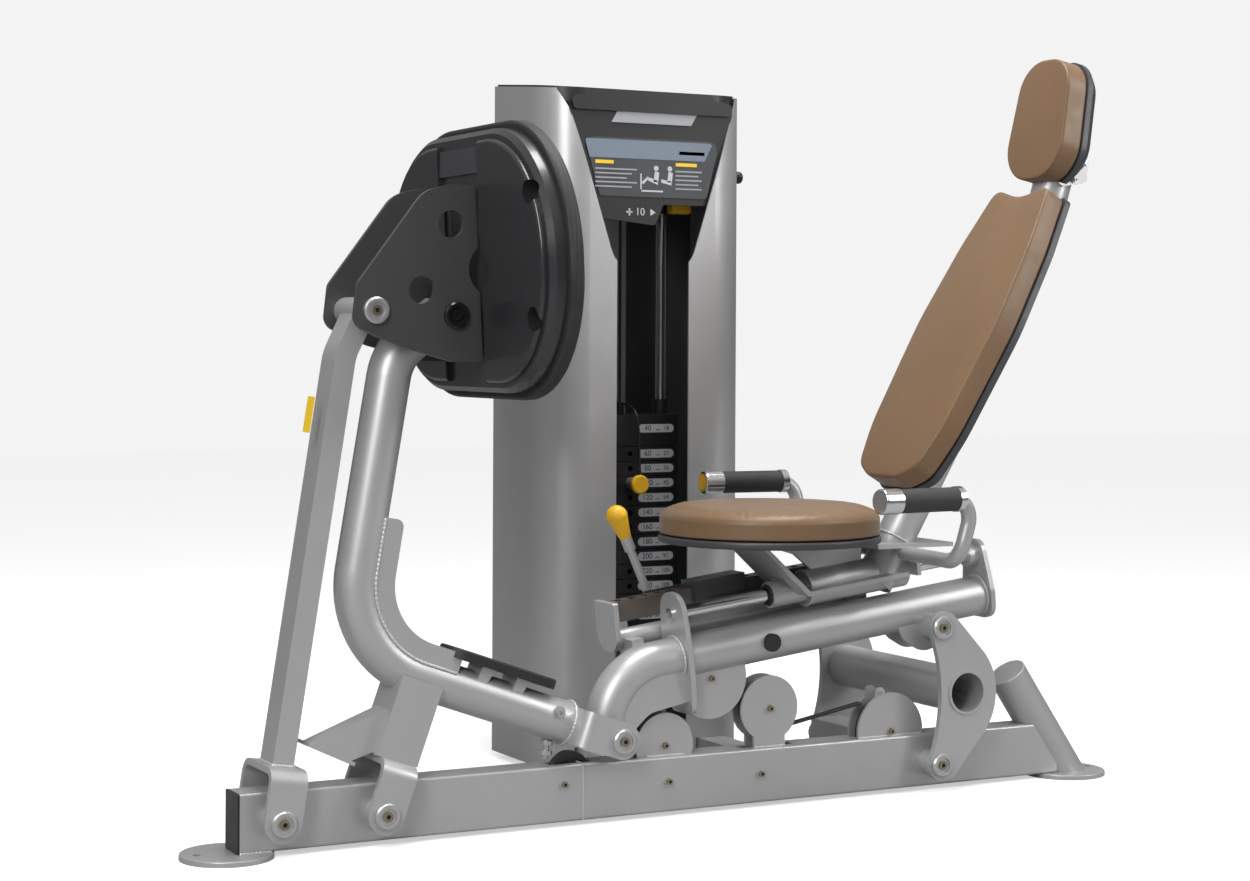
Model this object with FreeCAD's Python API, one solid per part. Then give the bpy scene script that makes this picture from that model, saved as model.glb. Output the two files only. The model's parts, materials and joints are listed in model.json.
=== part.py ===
import FreeCAD, Part
import math
import os

# Rocking leg press with a weight stack tower.
# Working frame: X runs along the base rail from the footplate end to the seat
# end, Y = 0 is the middle of the rail and the tower is on the +Y side, Z = 0
# is the floor.  Everything is in millimetres.

V = FreeCAD.Vector
FOOTPRINT_CENTRE = V(875.25, 171.0, 0.0)   # moved to the origin when a node is saved

# base rail and feet
RAIL_HALF_WIDTH = 31.75
RAIL_HEIGHT = 101.6
RAIL_BOTTOM = 9.5
RAIL_TOP = RAIL_BOTTOM + RAIL_HEIGHT
RAIL_END = 1718.0
WALL = 4.0
FOOT_THICKNESS = 9.5
FRONT_FOOT = V(-12, 0, 0)
FRONT_FOOT_RADIUS = 80.0
REAR_FOOT = V(1760, 0, 0)
REAR_FOOT_RADIUS = 82.5

# pivots, all with their axis along Y
LINK_PIVOT = V(62, 0, 63)
ARM_PIVOT = V(248, 0, 60)
ARM_REAR_PIVOT = V(706, 0, 154)
LINK_TOP_PIVOT = V(223, 0, 926)
ARM_TOP_PIVOT = V(372, 0, 919)
ROCKER_TOP_PIVOT = V(1402, 0, 323)
ROCKER_BASE_PIVOT = V(1402, 0, 57)
PIN_RADIUS = 10.0
BORE_RADIUS = 10.05
LINK_TOP_BORE_RADIUS = 11.5
ROCKER_TOP_BORE_RADIUS = 17.5
CAP_RADIUS = 23.0
CAP_HEIGHT = 9.0
SLEEVE_RADIUS = 24.0
YOKE_HALF = 75.0
YOKE_THICKNESS = 11.0
YOKE_WIDTH = 66.0
SLEEVE_HALF = 63.0

# round frame tubes
TUBE_RADIUS = 39.0
TUBE_BORE = 35.0

# seat carriage: a local frame that starts at the front bend of the carriage
# tube and slopes up towards the rear
CARRIAGE_START = V(716, 0, 270)
CARRIAGE_SLOPE = math.degrees(math.atan(0.125))
CARRIAGE_LENGTH = 832.0
ROD_RISE = 82.0
ROD_RADIUS = 12.5
FRONT_PLATE_S = 140.0
REAR_PLATE_S = 832.0
PLATE = 10.0

# latch rail beside the seat rod
LATCH_Y0 = 78.0
LATCH_Y1 = 112.0

# far rocker
FAR_ROCKER_Y = 350.0
NEAR_ROCKER_Y = -76.0
ROCKER_PLATE = 12.0
ROCKER_TUBE_CENTRE = V(1462, 0, 194)
ROCKER_TUBE_RADIUS = 43.0

# pulleys: centre, housing radius and wheel radius
PULLEY_FRONT = (V(821, 0, 130), 60.0, 50.0)
PULLEY_CARRIAGE = (V(919, 0, 248), 76.0, 64.0)
PULLEY_MIDDLE = (V(1047, 0, 183), 62.0, 52.0)
PULLEY_REAR = (V(1322, 0, 120), 75.0, 64.0)
PULLEY_RAIL = (V(632, 0, 94), 42.0, 38.0)
WHEEL_HALF = 9.0
AXLE_RADIUS = 8.0
HOUSING_INNER = 13.0
HOUSING_OUTER = 19.0
HOUSING_BOLT_RADIUS = 8.5
CABLE_RADIUS = 3.0
CABLE_Y = 4.0
CABLE_EXIT_Z = 30.0

# cross tubes between the rail and the tower: X spans and top
CROSS_TUBES = ((870.0, 930.0), (1150.0, 1210.0))
CROSS_TUBE_TOP = 52.0

# tower
TOWER_X = 1037.0
TOWER_HALF = 236.0
TOWER_GAP_HALF = 84.0
TOWER_FRONT = 430.0
TOWER_BACK = 700.0
TOWER_TOP = 1390.0
TOWER_TOP_SLOPE = 5.5
SHROUD_WALL = 4.0
SHROUD_BEND = 90.0
STACK_Y = 577.0
STACK_HALF_X = 115.0
STACK_HALF_Y = 50.0
STACK_BOTTOM = 255.6
PLATE_PITCH = 30.8
PLATE_GAP = 1.2
LIFTED_COUNT = 3
LOWER_COUNT = 10
HEAD_HEIGHT = 65.0
GUIDE_X = 98.0
HEAD_TOP = STACK_BOTTOM + (LOWER_COUNT + LIFTED_COUNT) * PLATE_PITCH + HEAD_HEIGHT
GUIDE_RADIUS = 11.0
STEM_RADIUS = 12.0
SELECTOR_HOLE = 5.5

TOP_WHEEL = (V(TOWER_X, STACK_Y + 47.5, 1318), 46.0)

# seat
SEAT_CENTRE_X = 1056.0
SEAT_RADIUS = 209.0
SEAT_BASE_Z = 497.0
SEAT_PAD_Z = 511.0
HANDLE_Y = 306.0
HANDLE_Z = 590.0
HANDLE_MIDDLE_X = 1186.0
HANDLE_RADIUS = 14.0
GRIP_START = 34.0
GRIP_END = 167.0
BACK_FOOT = V(1337, 0, 662)
BACK_LEAN = 30.6
HEAD_FOOT = V(1664, 0, 1208)
HEAD_LEAN = 11.0
HEAD_BOLTS = ((1744, 1206), (1766, 1236))
HEAD_BOLT_RADIUS = 7.0

# footplate
FOOTPLATE_CENTRE = V(412, 0, 1012)
FOOTPLATE_LEAN = -3.0
FOOTPLATE_HALF_WIDTH = 358.0
FOOTPLATE_HALF_HEIGHT = 243.0


# ---------------------------------------------------------------- helpers

def save(name, solids):
    """Write one node; a list of solids becomes one group."""
    shape = solids if not isinstance(solids, list) else Part.makeCompound(solids)
    shape.translate(V(0, 0, 0) - FOOTPRINT_CENTRE)
    shape.exportStep("parts/" + name + ".step")


def box(x0, x1, y0, y1, z0, z1):
    return Part.makeBox(x1 - x0, y1 - y0, z1 - z0, V(x0, y0, z0))


def rod(start, end, radius):
    along = end - start
    return Part.makeCylinder(radius, along.Length, start, along)


def tube(start, end, outer, inner):
    return rod(start, end, outer).cut(rod(start, end, inner))


def across(centre, y0, y1, radius):
    """A round bar along Y through a pivot."""
    return rod(V(centre.x, y0, centre.z), V(centre.x, y1, centre.z), radius)


def arc_at(before, corner, after, radius):
    """Start, middle and end of the arc that rounds one corner."""
    to_before = (before - corner).normalize()
    to_after = (after - corner).normalize()
    half = to_before.getAngle(to_after) / 2
    cut = radius / math.tan(half)
    towards = (to_before + to_after).normalize()
    middle = corner + towards * (radius / math.sin(half) - radius)
    return corner + to_before * cut, middle, corner + to_after * cut


def rounded_wire(points, radii, closed=False):
    """Straight runs joined by tangent arcs, one radius per point."""
    count = len(points)
    stops = []
    for i, corner in enumerate(points):
        is_end = not closed and i in (0, count - 1)
        if is_end or radii[i] == 0:
            stops.append((corner, None, corner))
        else:
            stops.append(arc_at(points[i - 1], corner, points[(i + 1) % count], radii[i]))
    edges = []
    for i in range(count):
        start, middle, end = stops[i]
        if middle is not None:
            edges.append(Part.Arc(start, middle, end).toShape())
        if i < count - 1 or closed:
            following = stops[(i + 1) % count][0]
            if (following - end).Length > 1e-4:
                edges.append(Part.LineSegment(end, following).toShape())
    return Part.Wire(edges)


def slab_y(outline, radii, y0, y1):
    """A flat plate from an X-Z outline, between two Y planes."""
    points = [V(x, y0, z) for x, z in outline]
    face = Part.Face(rounded_wire(points, radii, True))
    return face.extrude(V(0, y1 - y0, 0))


def slab_x(outline, radii, x0, x1):
    """A flat plate from a Y-Z outline, between two X planes."""
    points = [V(x0, y, z) for y, z in outline]
    face = Part.Face(rounded_wire(points, radii, True))
    return face.extrude(V(x1 - x0, 0, 0))


def slab_z(outline, radii, z0, z1):
    """A flat plate from an X-Y outline, between two Z planes."""
    points = [V(x, y, z0) for x, y in outline]
    face = Part.Face(rounded_wire(points, radii, True))
    return face.extrude(V(0, 0, z1 - z0))


def round_sweep(points, radii, radius):
    wire = rounded_wire(points, radii)
    ring = Part.Wire(Part.makeCircle(radius, points[0], points[1] - points[0]))
    return wire.makePipeShell([ring], True, False)


def bent_tube(points, radii, outer, inner):
    return round_sweep(points, radii, outer).cut(round_sweep(points, radii, inner))


def rectangle_sweep(points, radii, half_thick, half_wide):
    """A rectangular bar along a path in the X-Z plane."""
    along = (points[1] - points[0]).normalize()
    side = V(0, 1, 0)
    normal = along.cross(side)
    start = points[0]
    corners = []
    for a, b in ((-1, -1), (1, -1), (1, 1), (-1, 1)):
        corners.append(start + normal * (a * half_thick) + side * (b * half_wide))
    profile = Part.makePolygon(corners + [corners[0]])
    return rounded_wire(points, radii).makePipeShell([profile], True, False)


def mirrored_y(shape):
    return shape.mirror(V(0, 0, 0), V(0, 1, 0))


def turned(shape, centre, degrees):
    """Turn about an axis along Y; positive lifts the +X side."""
    copy = shape.copy()
    copy.rotate(centre, V(0, -1, 0), degrees)
    return copy


def one_solid(shape):
    """The single solid of a boolean result."""
    return max(shape.Solids, key=lambda piece: piece.Volume)


def cap(centre, y_face, outward):
    """A pivot cap: a dished washer with a recessed socket screw."""
    outer = across(centre, y_face, y_face + outward * CAP_HEIGHT, CAP_RADIUS)
    recess_start = y_face + outward * (CAP_HEIGHT - 4)
    recess = across(centre, recess_start, y_face + outward * (CAP_HEIGHT + 1), 15)
    head = across(centre, recess_start, y_face + outward * (CAP_HEIGHT - 1), 9)
    socket = across(centre, recess_start + outward, y_face + outward * CAP_HEIGHT, 4)
    rim = [edge for edge in outer.Edges
           if abs(edge.BoundBox.YMin - (y_face + outward * CAP_HEIGHT)) < 0.01
           and edge.BoundBox.YLength < 0.01]
    outer = outer.makeChamfer(2.5, rim)
    return outer.cut(recess).fuse(head.cut(socket))


def through_pin(centre, half):
    """A pivot pin with a cap outside each plate."""
    shaft = across(centre, -half - 1, half + 1, PIN_RADIUS)
    return shaft.fuse(cap(centre, half, 1)).fuse(cap(centre, -half, -1)).removeSplitter()


def sleeve(centre, half, radius=SLEEVE_RADIUS, bore=BORE_RADIUS):
    return across(centre, -half, half, radius).cut(across(centre, -half, half, bore))


def yoke(pivot, towards, reach):
    """A bent strap that straddles a sleeve; its crown lies `reach` from the pivot."""
    low = -YOKE_WIDTH / 2
    outer = [(-YOKE_HALF, low), (-YOKE_HALF, reach), (YOKE_HALF, reach), (YOKE_HALF, low)]
    inner_half = YOKE_HALF - YOKE_THICKNESS
    top = reach - YOKE_THICKNESS
    inner = [(-inner_half, low - 5), (-inner_half, top), (inner_half, top), (inner_half, low - 5)]
    half = YOKE_WIDTH / 2
    strap = slab_x(outer, [0, 26, 26, 0], -half, half)
    strap = strap.cut(slab_x(inner, [0, 15, 15, 0], -half - 1, half + 1))
    side = slab_y([(-half, low), (-half, reach), (half, reach), (half, low)],
                  [half - 0.5, 0, 0, half - 0.5], -YOKE_HALF, YOKE_HALF)
    strap = strap.common(side)
    strap = strap.cut(across(V(0, 0, 0), -YOKE_HALF - 1, YOKE_HALF + 1, BORE_RADIUS))
    direction = towards - pivot
    lean = math.degrees(math.atan2(-direction.x, direction.z))
    strap = turned(strap, V(0, 0, 0), lean)
    strap.translate(pivot)
    return strap


def offset_corner(start, corner, end, distance):
    """Three points of a bent line moved sideways towards the inside of its bend."""
    first = (corner - start).normalize()
    second = (end - corner).normalize()
    inside = (second - first).normalize()
    normal_a = (inside - first * inside.dot(first)).normalize()
    normal_b = (inside - second * inside.dot(second)).normalize()
    half = math.acos(max(-1, min(1, inside.dot(normal_a))))
    corner_moved = corner + inside * (distance / math.cos(half))
    return start + normal_a * distance, corner_moved, end + normal_b * distance


def bend_plates(start, corner, end, radius, near, far, y0, y1):
    """A pair of curved gusset plates that follow the inside of a tube bend."""
    a = offset_corner(start, corner, end, near)
    b = offset_corner(start, corner, end, far)
    outline = [(p.x, p.z) for p in (a[0], a[1], a[2], b[2], b[1], b[0])]
    radii = [6, radius - near, 6, 14, radius - far, 14]
    plate = slab_y(outline, radii, y0, y1)
    return plate, mirrored_y(plate)


def on_carriage(shape):
    """Move a shape built in the carriage's own frame into place."""
    placed = turned(shape, V(0, 0, 0), CARRIAGE_SLOPE)
    placed.translate(CARRIAGE_START)
    return placed


def to_carriage(point):
    """A point of the machine in the carriage's own frame."""
    moved = point - CARRIAGE_START
    angle = math.radians(CARRIAGE_SLOPE)
    s = moved.x * math.cos(angle) + moved.z * math.sin(angle)
    t = moved.z * math.cos(angle) - moved.x * math.sin(angle)
    return V(s, moved.y, t)


def bolt_head(centre, y_face, outward, radius=9.0):
    """A flanged screw head seen on the side of the rail."""
    flange = across(centre, y_face, y_face + outward * 2.5, radius)
    head = across(centre, y_face + outward * 2.5, y_face + outward * 8, radius * 0.62)
    socket = across(centre, y_face + outward * 4, y_face + outward * 9, radius * 0.3)
    return flange.fuse(head).cut(socket)


def wheel(pulley):
    """A grooved pulley wheel with its axle bore."""
    centre, _, radius = pulley
    disc = across(centre, -WHEEL_HALF, WHEEL_HALF, radius)
    groove = Part.makeTorus(radius + 1.5, CABLE_RADIUS + 1.5, centre, V(0, 1, 0))
    bore = across(centre, -WHEEL_HALF - 1, WHEEL_HALF + 1, AXLE_RADIUS + 0.05)
    disc = disc.cut(groove).cut(bore)
    for side in (-1, 1):
        dish = across(centre, side * (WHEEL_HALF - 3), side * (WHEEL_HALF + 1), radius * 0.72)
        hub = across(centre, side * (WHEEL_HALF - 4), side * (WHEEL_HALF + 2), 18)
        disc = disc.cut(dish.cut(hub))
    return disc


def housing(pulley, floor_z, neck_half):
    """Two cheek plates with a neck, an axle and a screw head each side."""
    centre, radius, _ = pulley
    solids = []
    for side in (-1, 1):
        inner = side * HOUSING_INNER
        outer = side * HOUSING_OUTER
        cheek = across(centre, inner, outer, radius)
        if floor_z is not None:
            y0, y1 = min(inner, outer), max(inner, outer)
            neck = box(centre.x - neck_half, centre.x + neck_half, y0, y1, floor_z, centre.z)
            cheek = cheek.fuse(neck).cut(box(centre.x - 200, centre.x + 200, y0 - 1, y1 + 1,
                                             floor_z - 200, floor_z))
        solids.append(cheek.removeSplitter())
    axle = across(centre, -HOUSING_INNER, HOUSING_INNER, AXLE_RADIUS)
    solids.append(axle)
    for side in (-1, 1):
        solids.append(bolt_head(centre, side * HOUSING_OUTER, side, HOUSING_BOLT_RADIUS))
    return solids


# ---------------------------------------------------------------- base

def base_rail():
    """The long box rail with pivot holes, pulley slots and a sloping rear end."""
    outer = box(0, RAIL_END, -RAIL_HALF_WIDTH, RAIL_HALF_WIDTH, RAIL_BOTTOM, RAIL_TOP)
    outer = outer.makeFillet(5, [e for e in outer.Edges if e.BoundBox.XLength > 1000])
    inner = box(-1, RAIL_END + 1, WALL - RAIL_HALF_WIDTH, RAIL_HALF_WIDTH - WALL,
                RAIL_BOTTOM + WALL, RAIL_TOP - WALL)
    rail = outer.cut(inner)
    rail = rail.cut(rear_brace_solid(0.3))
    rail = rail.cut(rod(V(TOWER_X, 0, CABLE_EXIT_Z), V(TOWER_X, 60, CABLE_EXIT_Z), 8))
    for pivot in (LINK_PIVOT, ARM_PIVOT, ROCKER_BASE_PIVOT):
        rail = rail.cut(across(pivot, -50, 50, SLEEVE_RADIUS))
    for pulley in (PULLEY_FRONT, PULLEY_RAIL, PULLEY_MIDDLE, PULLEY_REAR):
        centre, radius, wheel_radius = pulley
        slot = box(centre.x - wheel_radius - 6, centre.x + wheel_radius + 6, -12, 12,
                   RAIL_TOP - 8, RAIL_TOP + 5)
        rail = rail.cut(slot)
    return one_solid(rail)


REAR_BRACE_FOOT = V(1792, 0, -40)
REAR_BRACE_HEAD = V(1615, 0, 214)


def rear_brace_solid(extra=0.0):
    """The sloping round post at the rear end, as a solid bar."""
    return rod(REAR_BRACE_FOOT, REAR_BRACE_HEAD, TUBE_RADIUS + extra)


def rear_brace():
    """Sloping rear post with a welded lid."""
    along = (REAR_BRACE_HEAD - REAR_BRACE_FOOT).normalize()
    post = tube(REAR_BRACE_FOOT, REAR_BRACE_HEAD, TUBE_RADIUS, TUBE_BORE)
    post = post.cut(box(1400, 2000, -100, 100, -100, FOOT_THICKNESS))
    lid = rod(REAR_BRACE_HEAD - along * 6, REAR_BRACE_HEAD, TUBE_BORE)
    return [one_solid(post), lid]


def foot_disc(centre, radius, hole_offset):
    disc = rod(V(centre.x, 0, 0), V(centre.x, 0, FOOT_THICKNESS), radius)
    rim = [e for e in disc.Edges if abs(e.BoundBox.ZMin - FOOT_THICKNESS) < 0.01
           and e.BoundBox.ZLength < 0.01]
    disc = disc.makeFillet(2.0, rim)
    hole = rod(V(centre.x + hole_offset, 0, -1), V(centre.x + hole_offset, 0, 20), 7)
    return disc.cut(hole)


def rail_cap():
    lip = box(-4, 0, -RAIL_HALF_WIDTH, RAIL_HALF_WIDTH, RAIL_BOTTOM, RAIL_TOP)
    lip = lip.makeFillet(3.5, [e for e in lip.Edges if e.BoundBox.XLength > 3.9])
    plug = box(0, 22, WALL - RAIL_HALF_WIDTH, RAIL_HALF_WIDTH - WALL,
               RAIL_BOTTOM + WALL, RAIL_TOP - WALL)
    return lip.fuse(plug)


def pivot_sleeves():
    """Bearing sleeves through the rail and at the far end of the rear cross tube."""
    sleeves = [sleeve(pivot, SLEEVE_HALF) for pivot in (LINK_PIVOT, ARM_PIVOT)]
    sleeves.append(sleeve(ROCKER_BASE_PIVOT, SLEEVE_HALF))
    far_start = FAR_ROCKER_Y - 1
    far = across(ROCKER_BASE_PIVOT, far_start - 40, far_start, SLEEVE_RADIUS)
    far = far.cut(across(ROCKER_BASE_PIVOT, far_start - 41, far_start + 1, BORE_RADIUS))
    sleeves.append(far)
    return sleeves


def cross_frame():
    """Cross tubes that tie the rail to the tower and to the far rocker."""
    def beam(x0, x1, y0, y1, z0, z1):
        outer = box(x0, x1, y0, y1, z0, z1)
        inner = box(x0 + WALL, x1 - WALL, y0 + WALL, y1 - WALL, z0 + WALL, z1 - WALL)
        return outer.cut(inner)
    ties = [beam(x0, x1, RAIL_HALF_WIDTH, 660, 0, CROSS_TUBE_TOP) for x0, x1 in CROSS_TUBES]
    leg = beam(1368, 1438, RAIL_HALF_WIDTH, FAR_ROCKER_Y - 10, 0, 92)
    leg = leg.cut(across(ROCKER_BASE_PIVOT, 0, 400, SLEEVE_RADIUS))
    return ties + [one_solid(leg)]


def rail_bolts():
    places = [(607, 78), (822, 66), (1020, 64)]
    solids = []
    for x, z in places:
        for side in (-1, 1):
            solids.append(bolt_head(V(x, 0, z), side * RAIL_HALF_WIDTH, side))
    return solids


def rear_ears():
    """Cable guard ears on the rear pulley housing."""
    solids = []
    for side in (-1, 1):
        y0, y1 = sorted((side * HOUSING_INNER, side * HOUSING_OUTER))
        ear = slab_y([(1284, 150), (1288, 206), (1306, 206), (1322, 150)], [0, 8, 8, 0], y0, y1)
        ear = ear.cut(across(PULLEY_REAR[0], y0 - 1, y1 + 1, PULLEY_REAR[1]))
        solids.append(one_solid(ear))
        solids.append(bolt_head(V(1297, 0, 197), side * HOUSING_OUTER, side, 5.0))
    return solids


# ---------------------------------------------------------------- tower

def tower_shroud():
    """Left bent side cover; the right one is its mirror image."""
    left = TOWER_X - TOWER_HALF
    inner_edge = TOWER_X - TOWER_GAP_HALF
    w = SHROUD_WALL
    outline = [(inner_edge, TOWER_FRONT), (left, TOWER_FRONT), (left, TOWER_BACK),
               (left + w, TOWER_BACK), (left + w, TOWER_FRONT + w), (inner_edge, TOWER_FRONT + w)]
    cover = slab_z(outline, [0, SHROUD_BEND, 0, 0, SHROUD_BEND - w, 0], 12, 1460)
    diagonal = slab_y([(left + 26, 1500), (left + 26, TOWER_TOP - 4), (left + 48, 1345),
                       (inner_edge, 1021), (1100, 1021), (1100, 1500)],
                      [0, 0, 120, 60, 0, 0], TOWER_FRONT - 20, TOWER_FRONT + 110)
    cover = cover.cut(diagonal)
    for x0, x1 in CROSS_TUBES:
        for start, end in ((x0, x1), (2 * TOWER_X - x1, 2 * TOWER_X - x0)):
            cover = cover.cut(box(start - 1, end + 1, TOWER_FRONT - 20, TOWER_FRONT + 20,
                                  0, CROSS_TUBE_TOP + 1))
    return cover.cut(above_tower(TOWER_TOP - 4))


def above_tower(front_z):
    """The space above the sloping tower top."""
    space = box(700, 1400, 0, 500, 0, 300)
    space.rotate(V(700, 0, 0), V(1, 0, 0), TOWER_TOP_SLOPE)
    space.translate(V(0, TOWER_FRONT - 30, front_z - 30 * math.tan(math.radians(TOWER_TOP_SLOPE))))
    return space


def mirrored_tower(shape):
    return shape.mirror(V(TOWER_X, 0, 0), V(1, 0, 0))


def top_cap():
    """Black cover over the tower, inside the two shrouds."""
    half = TOWER_HALF - SHROUD_WALL - 0.5
    x0, x1 = TOWER_X - half, TOWER_X + half
    y0, y1 = TOWER_FRONT + 16, TOWER_BACK - 2
    bend = SHROUD_BEND - 8
    lid = slab_z([(x0, y0), (x1, y0), (x1, y1), (x0, y1)], [bend, bend, 4, 4], 1362, 1460)
    inner = slab_z([(x0 + 4, y0 + 4), (x1 - 4, y0 + 4), (x1 - 4, y1 - 4), (x0 + 4, y1 - 4)],
                   [bend - 4, bend - 4, 2, 2], 1361, 1380)
    return one_solid(lid.cut(above_tower(TOWER_TOP)).cut(inner))


def fascia():
    """Front panel in the shape of a wide trapezium with a lower tab."""
    outline = [(838, 1376), (1236, 1376), (1170, 1158), (1064, 1158), (1046, 1114), (914, 1128)]
    plate = slab_y(outline, [24, 24, 14, 8, 12, 16], TOWER_FRONT + 9, TOWER_FRONT + 15)
    brow = slab_y([(846, 1372), (1228, 1372), (1220, 1346), (856, 1346)], [10, 10, 8, 8],
                  TOWER_FRONT + 3, TOWER_FRONT + 9)
    panel = plate.fuse(brow)
    shroud = tower_shroud()
    return one_solid(panel.cut(shroud).cut(mirrored_tower(shroud)))


def instruction_panel():
    return slab_y([(880, 1292), (1196, 1292), (1166, 1172), (916, 1172)], [20, 20, 8, 8],
                  TOWER_FRONT + 7, TOWER_FRONT + 9)


def tower_frame():
    """Rear column, foot plate, shelf and top beam of the tower."""
    column = box(TOWER_X - 50, TOWER_X + 50, 645, 695, 10, 1340)
    inner = box(TOWER_X - 46, TOWER_X + 46, 649, 691, 9, 1341)
    column = column.cut(inner)
    column = column.cut(box(TOWER_X - 14, TOWER_X + 14, 640, 660, 1262, 1345))
    column = column.cut(box(TOWER_X - 14, TOWER_X + 14, 640, 660, 5, 90))
    foot = box(TOWER_X - 200, TOWER_X + 200, 662, 695, 0, 10)
    beam = box(TOWER_X - 140, TOWER_X + 140, STACK_Y - 30, 695, 1340, 1352)
    beam = beam.cut(box(TOWER_X - 14, TOWER_X + 14, STACK_Y - 20, 678, 1330, 1360))
    shelf = box(TOWER_X - 180, TOWER_X + 180, STACK_Y - 40, 645, 52, 62)
    wheel_centre = TOP_WHEEL[0]
    parts = [column, foot, beam, shelf]
    for side in (-1, 1):
        x0, x1 = sorted((TOWER_X + side * 12, TOWER_X + side * 17))
        parts.append(box(x0, x1, wheel_centre.y - 16, wheel_centre.y + 16,
                         wheel_centre.z - 16, 1340))
    axle = rod(wheel_centre - V(12, 0, 0), wheel_centre + V(12, 0, 0), 8.0)
    return parts + [axle] + stack_bumpers()


def back_covers():
    left = box(TOWER_X - TOWER_HALF + 5, TOWER_X - 70, 684, 688, 14, 1340)
    return [left, mirrored_tower(left)]


def guide_rods():
    solids = []
    for side in (-1, 1):
        x = TOWER_X + side * GUIDE_X
        solids.append(rod(V(x, STACK_Y, 62), V(x, STACK_Y, 1340), GUIDE_RADIUS))
    return solids


def stack_bumpers():
    """Spring collars under the stack, around the guide rods."""
    solids = []
    for side in (-1, 1):
        x = TOWER_X + side * GUIDE_X
        spacer = tube(V(x, STACK_Y, 62), V(x, STACK_Y, 228), 16, GUIDE_RADIUS + 0.1)
        pad = tube(V(x, STACK_Y, 228), V(x, STACK_Y, STACK_BOTTOM - 0.1), 24, GUIDE_RADIUS + 0.1)
        solids.append(spacer.fuse(pad).removeSplitter())
    return solids


def stack_plate(level):
    """One weight plate; level 0 is the lowest."""
    z0 = STACK_BOTTOM + level * PLATE_PITCH
    z1 = z0 + PLATE_PITCH - PLATE_GAP
    plate = box(TOWER_X - STACK_HALF_X, TOWER_X + STACK_HALF_X,
                STACK_Y - STACK_HALF_Y, STACK_Y + STACK_HALF_Y, z0, z1)
    upright = [e for e in plate.Edges if e.BoundBox.ZLength > 20]
    plate = plate.makeFillet(6, upright)
    for side in (-1, 1):
        x = TOWER_X + side * GUIDE_X
        plate = plate.cut(rod(V(x, STACK_Y, z0 - 1), V(x, STACK_Y, z1 + 1), GUIDE_RADIUS + 1.5))
    plate = plate.cut(rod(V(TOWER_X, STACK_Y, z0 - 1), V(TOWER_X, STACK_Y, z1 + 1), STEM_RADIUS + 2))
    middle = (z0 + z1) / 2
    hole = rod(V(TOWER_X, STACK_Y - STACK_HALF_Y - 1, middle), V(TOWER_X, STACK_Y + 30, middle),
               SELECTOR_HOLE)
    return plate.cut(hole)


def selector_height(level):
    return STACK_BOTTOM + level * PLATE_PITCH + (PLATE_PITCH - PLATE_GAP) / 2


def head_plate():
    """Top plate with guide bushings and the drilled selector stem."""
    z0 = STACK_BOTTOM + (LOWER_COUNT + LIFTED_COUNT) * PLATE_PITCH
    z1 = z0 + HEAD_HEIGHT
    block = box(TOWER_X - STACK_HALF_X, TOWER_X + STACK_HALF_X,
                STACK_Y - STACK_HALF_Y, STACK_Y + STACK_HALF_Y, z0, z1)
    block = block.makeFillet(6, [e for e in block.Edges if e.BoundBox.ZLength > 20])
    stem = rod(V(TOWER_X, STACK_Y, STACK_BOTTOM + 4), V(TOWER_X, STACK_Y, z0 + 1), STEM_RADIUS)
    for level in range(LOWER_COUNT + LIFTED_COUNT):
        z = selector_height(level)
        stem = stem.cut(rod(V(TOWER_X, STACK_Y - 20, z), V(TOWER_X, STACK_Y + 20, z), SELECTOR_HOLE))
    block = block.fuse(stem)
    for side in (-1, 1):
        x = TOWER_X + side * GUIDE_X
        block = block.fuse(rod(V(x, STACK_Y, z1 - 1), V(x, STACK_Y, z1 + 32), 16))
        block = block.cut(rod(V(x, STACK_Y, z0 - 1), V(x, STACK_Y, z1 + 40), GUIDE_RADIUS + 0.06))
    hook = rod(V(TOWER_X, STACK_Y, z1 - 1), V(TOWER_X, STACK_Y, z1 + 26), 9)
    return block.fuse(hook).removeSplitter()


def selector_pin():
    """Straight pin with a hub and a round finger disc."""
    z = selector_height(LOWER_COUNT)
    front = STACK_Y - STACK_HALF_Y
    shaft = rod(V(TOWER_X, front - 30, z), V(TOWER_X, STACK_Y + 26, z), 5.0)
    hub = rod(V(TOWER_X, front - 36, z), V(TOWER_X, front - 2, z), 13)
    return shaft.fuse(hub).removeSplitter()


def selector_disc():
    z = selector_height(LOWER_COUNT)
    front = STACK_Y - STACK_HALF_Y
    disc = rod(V(TOWER_X, front - 48, z), V(TOWER_X, front - 36, z), 20)
    disc = disc.makeFillet(4, [e for e in disc.Edges if e.BoundBox.YLength < 0.01])
    return disc


def add_on_weight():
    """Small extra weight parked high on the right guide rod, with its knob."""
    x = TOWER_X + GUIDE_X
    body = rod(V(x, STACK_Y, 1146), V(x, STACK_Y, 1250), 38)
    arm = box(x - 13, x + 13, STACK_Y - 66, STACK_Y, 1146, 1162)
    body = body.fuse(arm)
    return body.cut(rod(V(x, STACK_Y, 1100), V(x, STACK_Y, 1300), GUIDE_RADIUS + 0.06))


def add_on_knob():
    x = TOWER_X + GUIDE_X
    knob = box(x - 24, x + 24, STACK_Y - 92, STACK_Y - 66, 1143, 1167)
    return knob.makeFillet(6, knob.Edges)


def tower_wheel():
    """Grooved wheel that carries the lift cable over the stack."""
    centre, radius = TOP_WHEEL
    disc = rod(centre - V(WHEEL_HALF, 0, 0), centre + V(WHEEL_HALF, 0, 0), radius)
    disc = disc.cut(Part.makeTorus(radius + 1.5, CABLE_RADIUS + 1.5, centre, V(1, 0, 0)))
    return disc.cut(rod(centre - V(10, 0, 0), centre + V(10, 0, 0), 8.05))


# ---------------------------------------------------------------- press arm and link

ARM_CORNER = V(197, 0, 336)
ARM_TOP_CORNER = V(284, 0, 850)
ARM_LOW_END = V(630, 0, 181)


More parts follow.
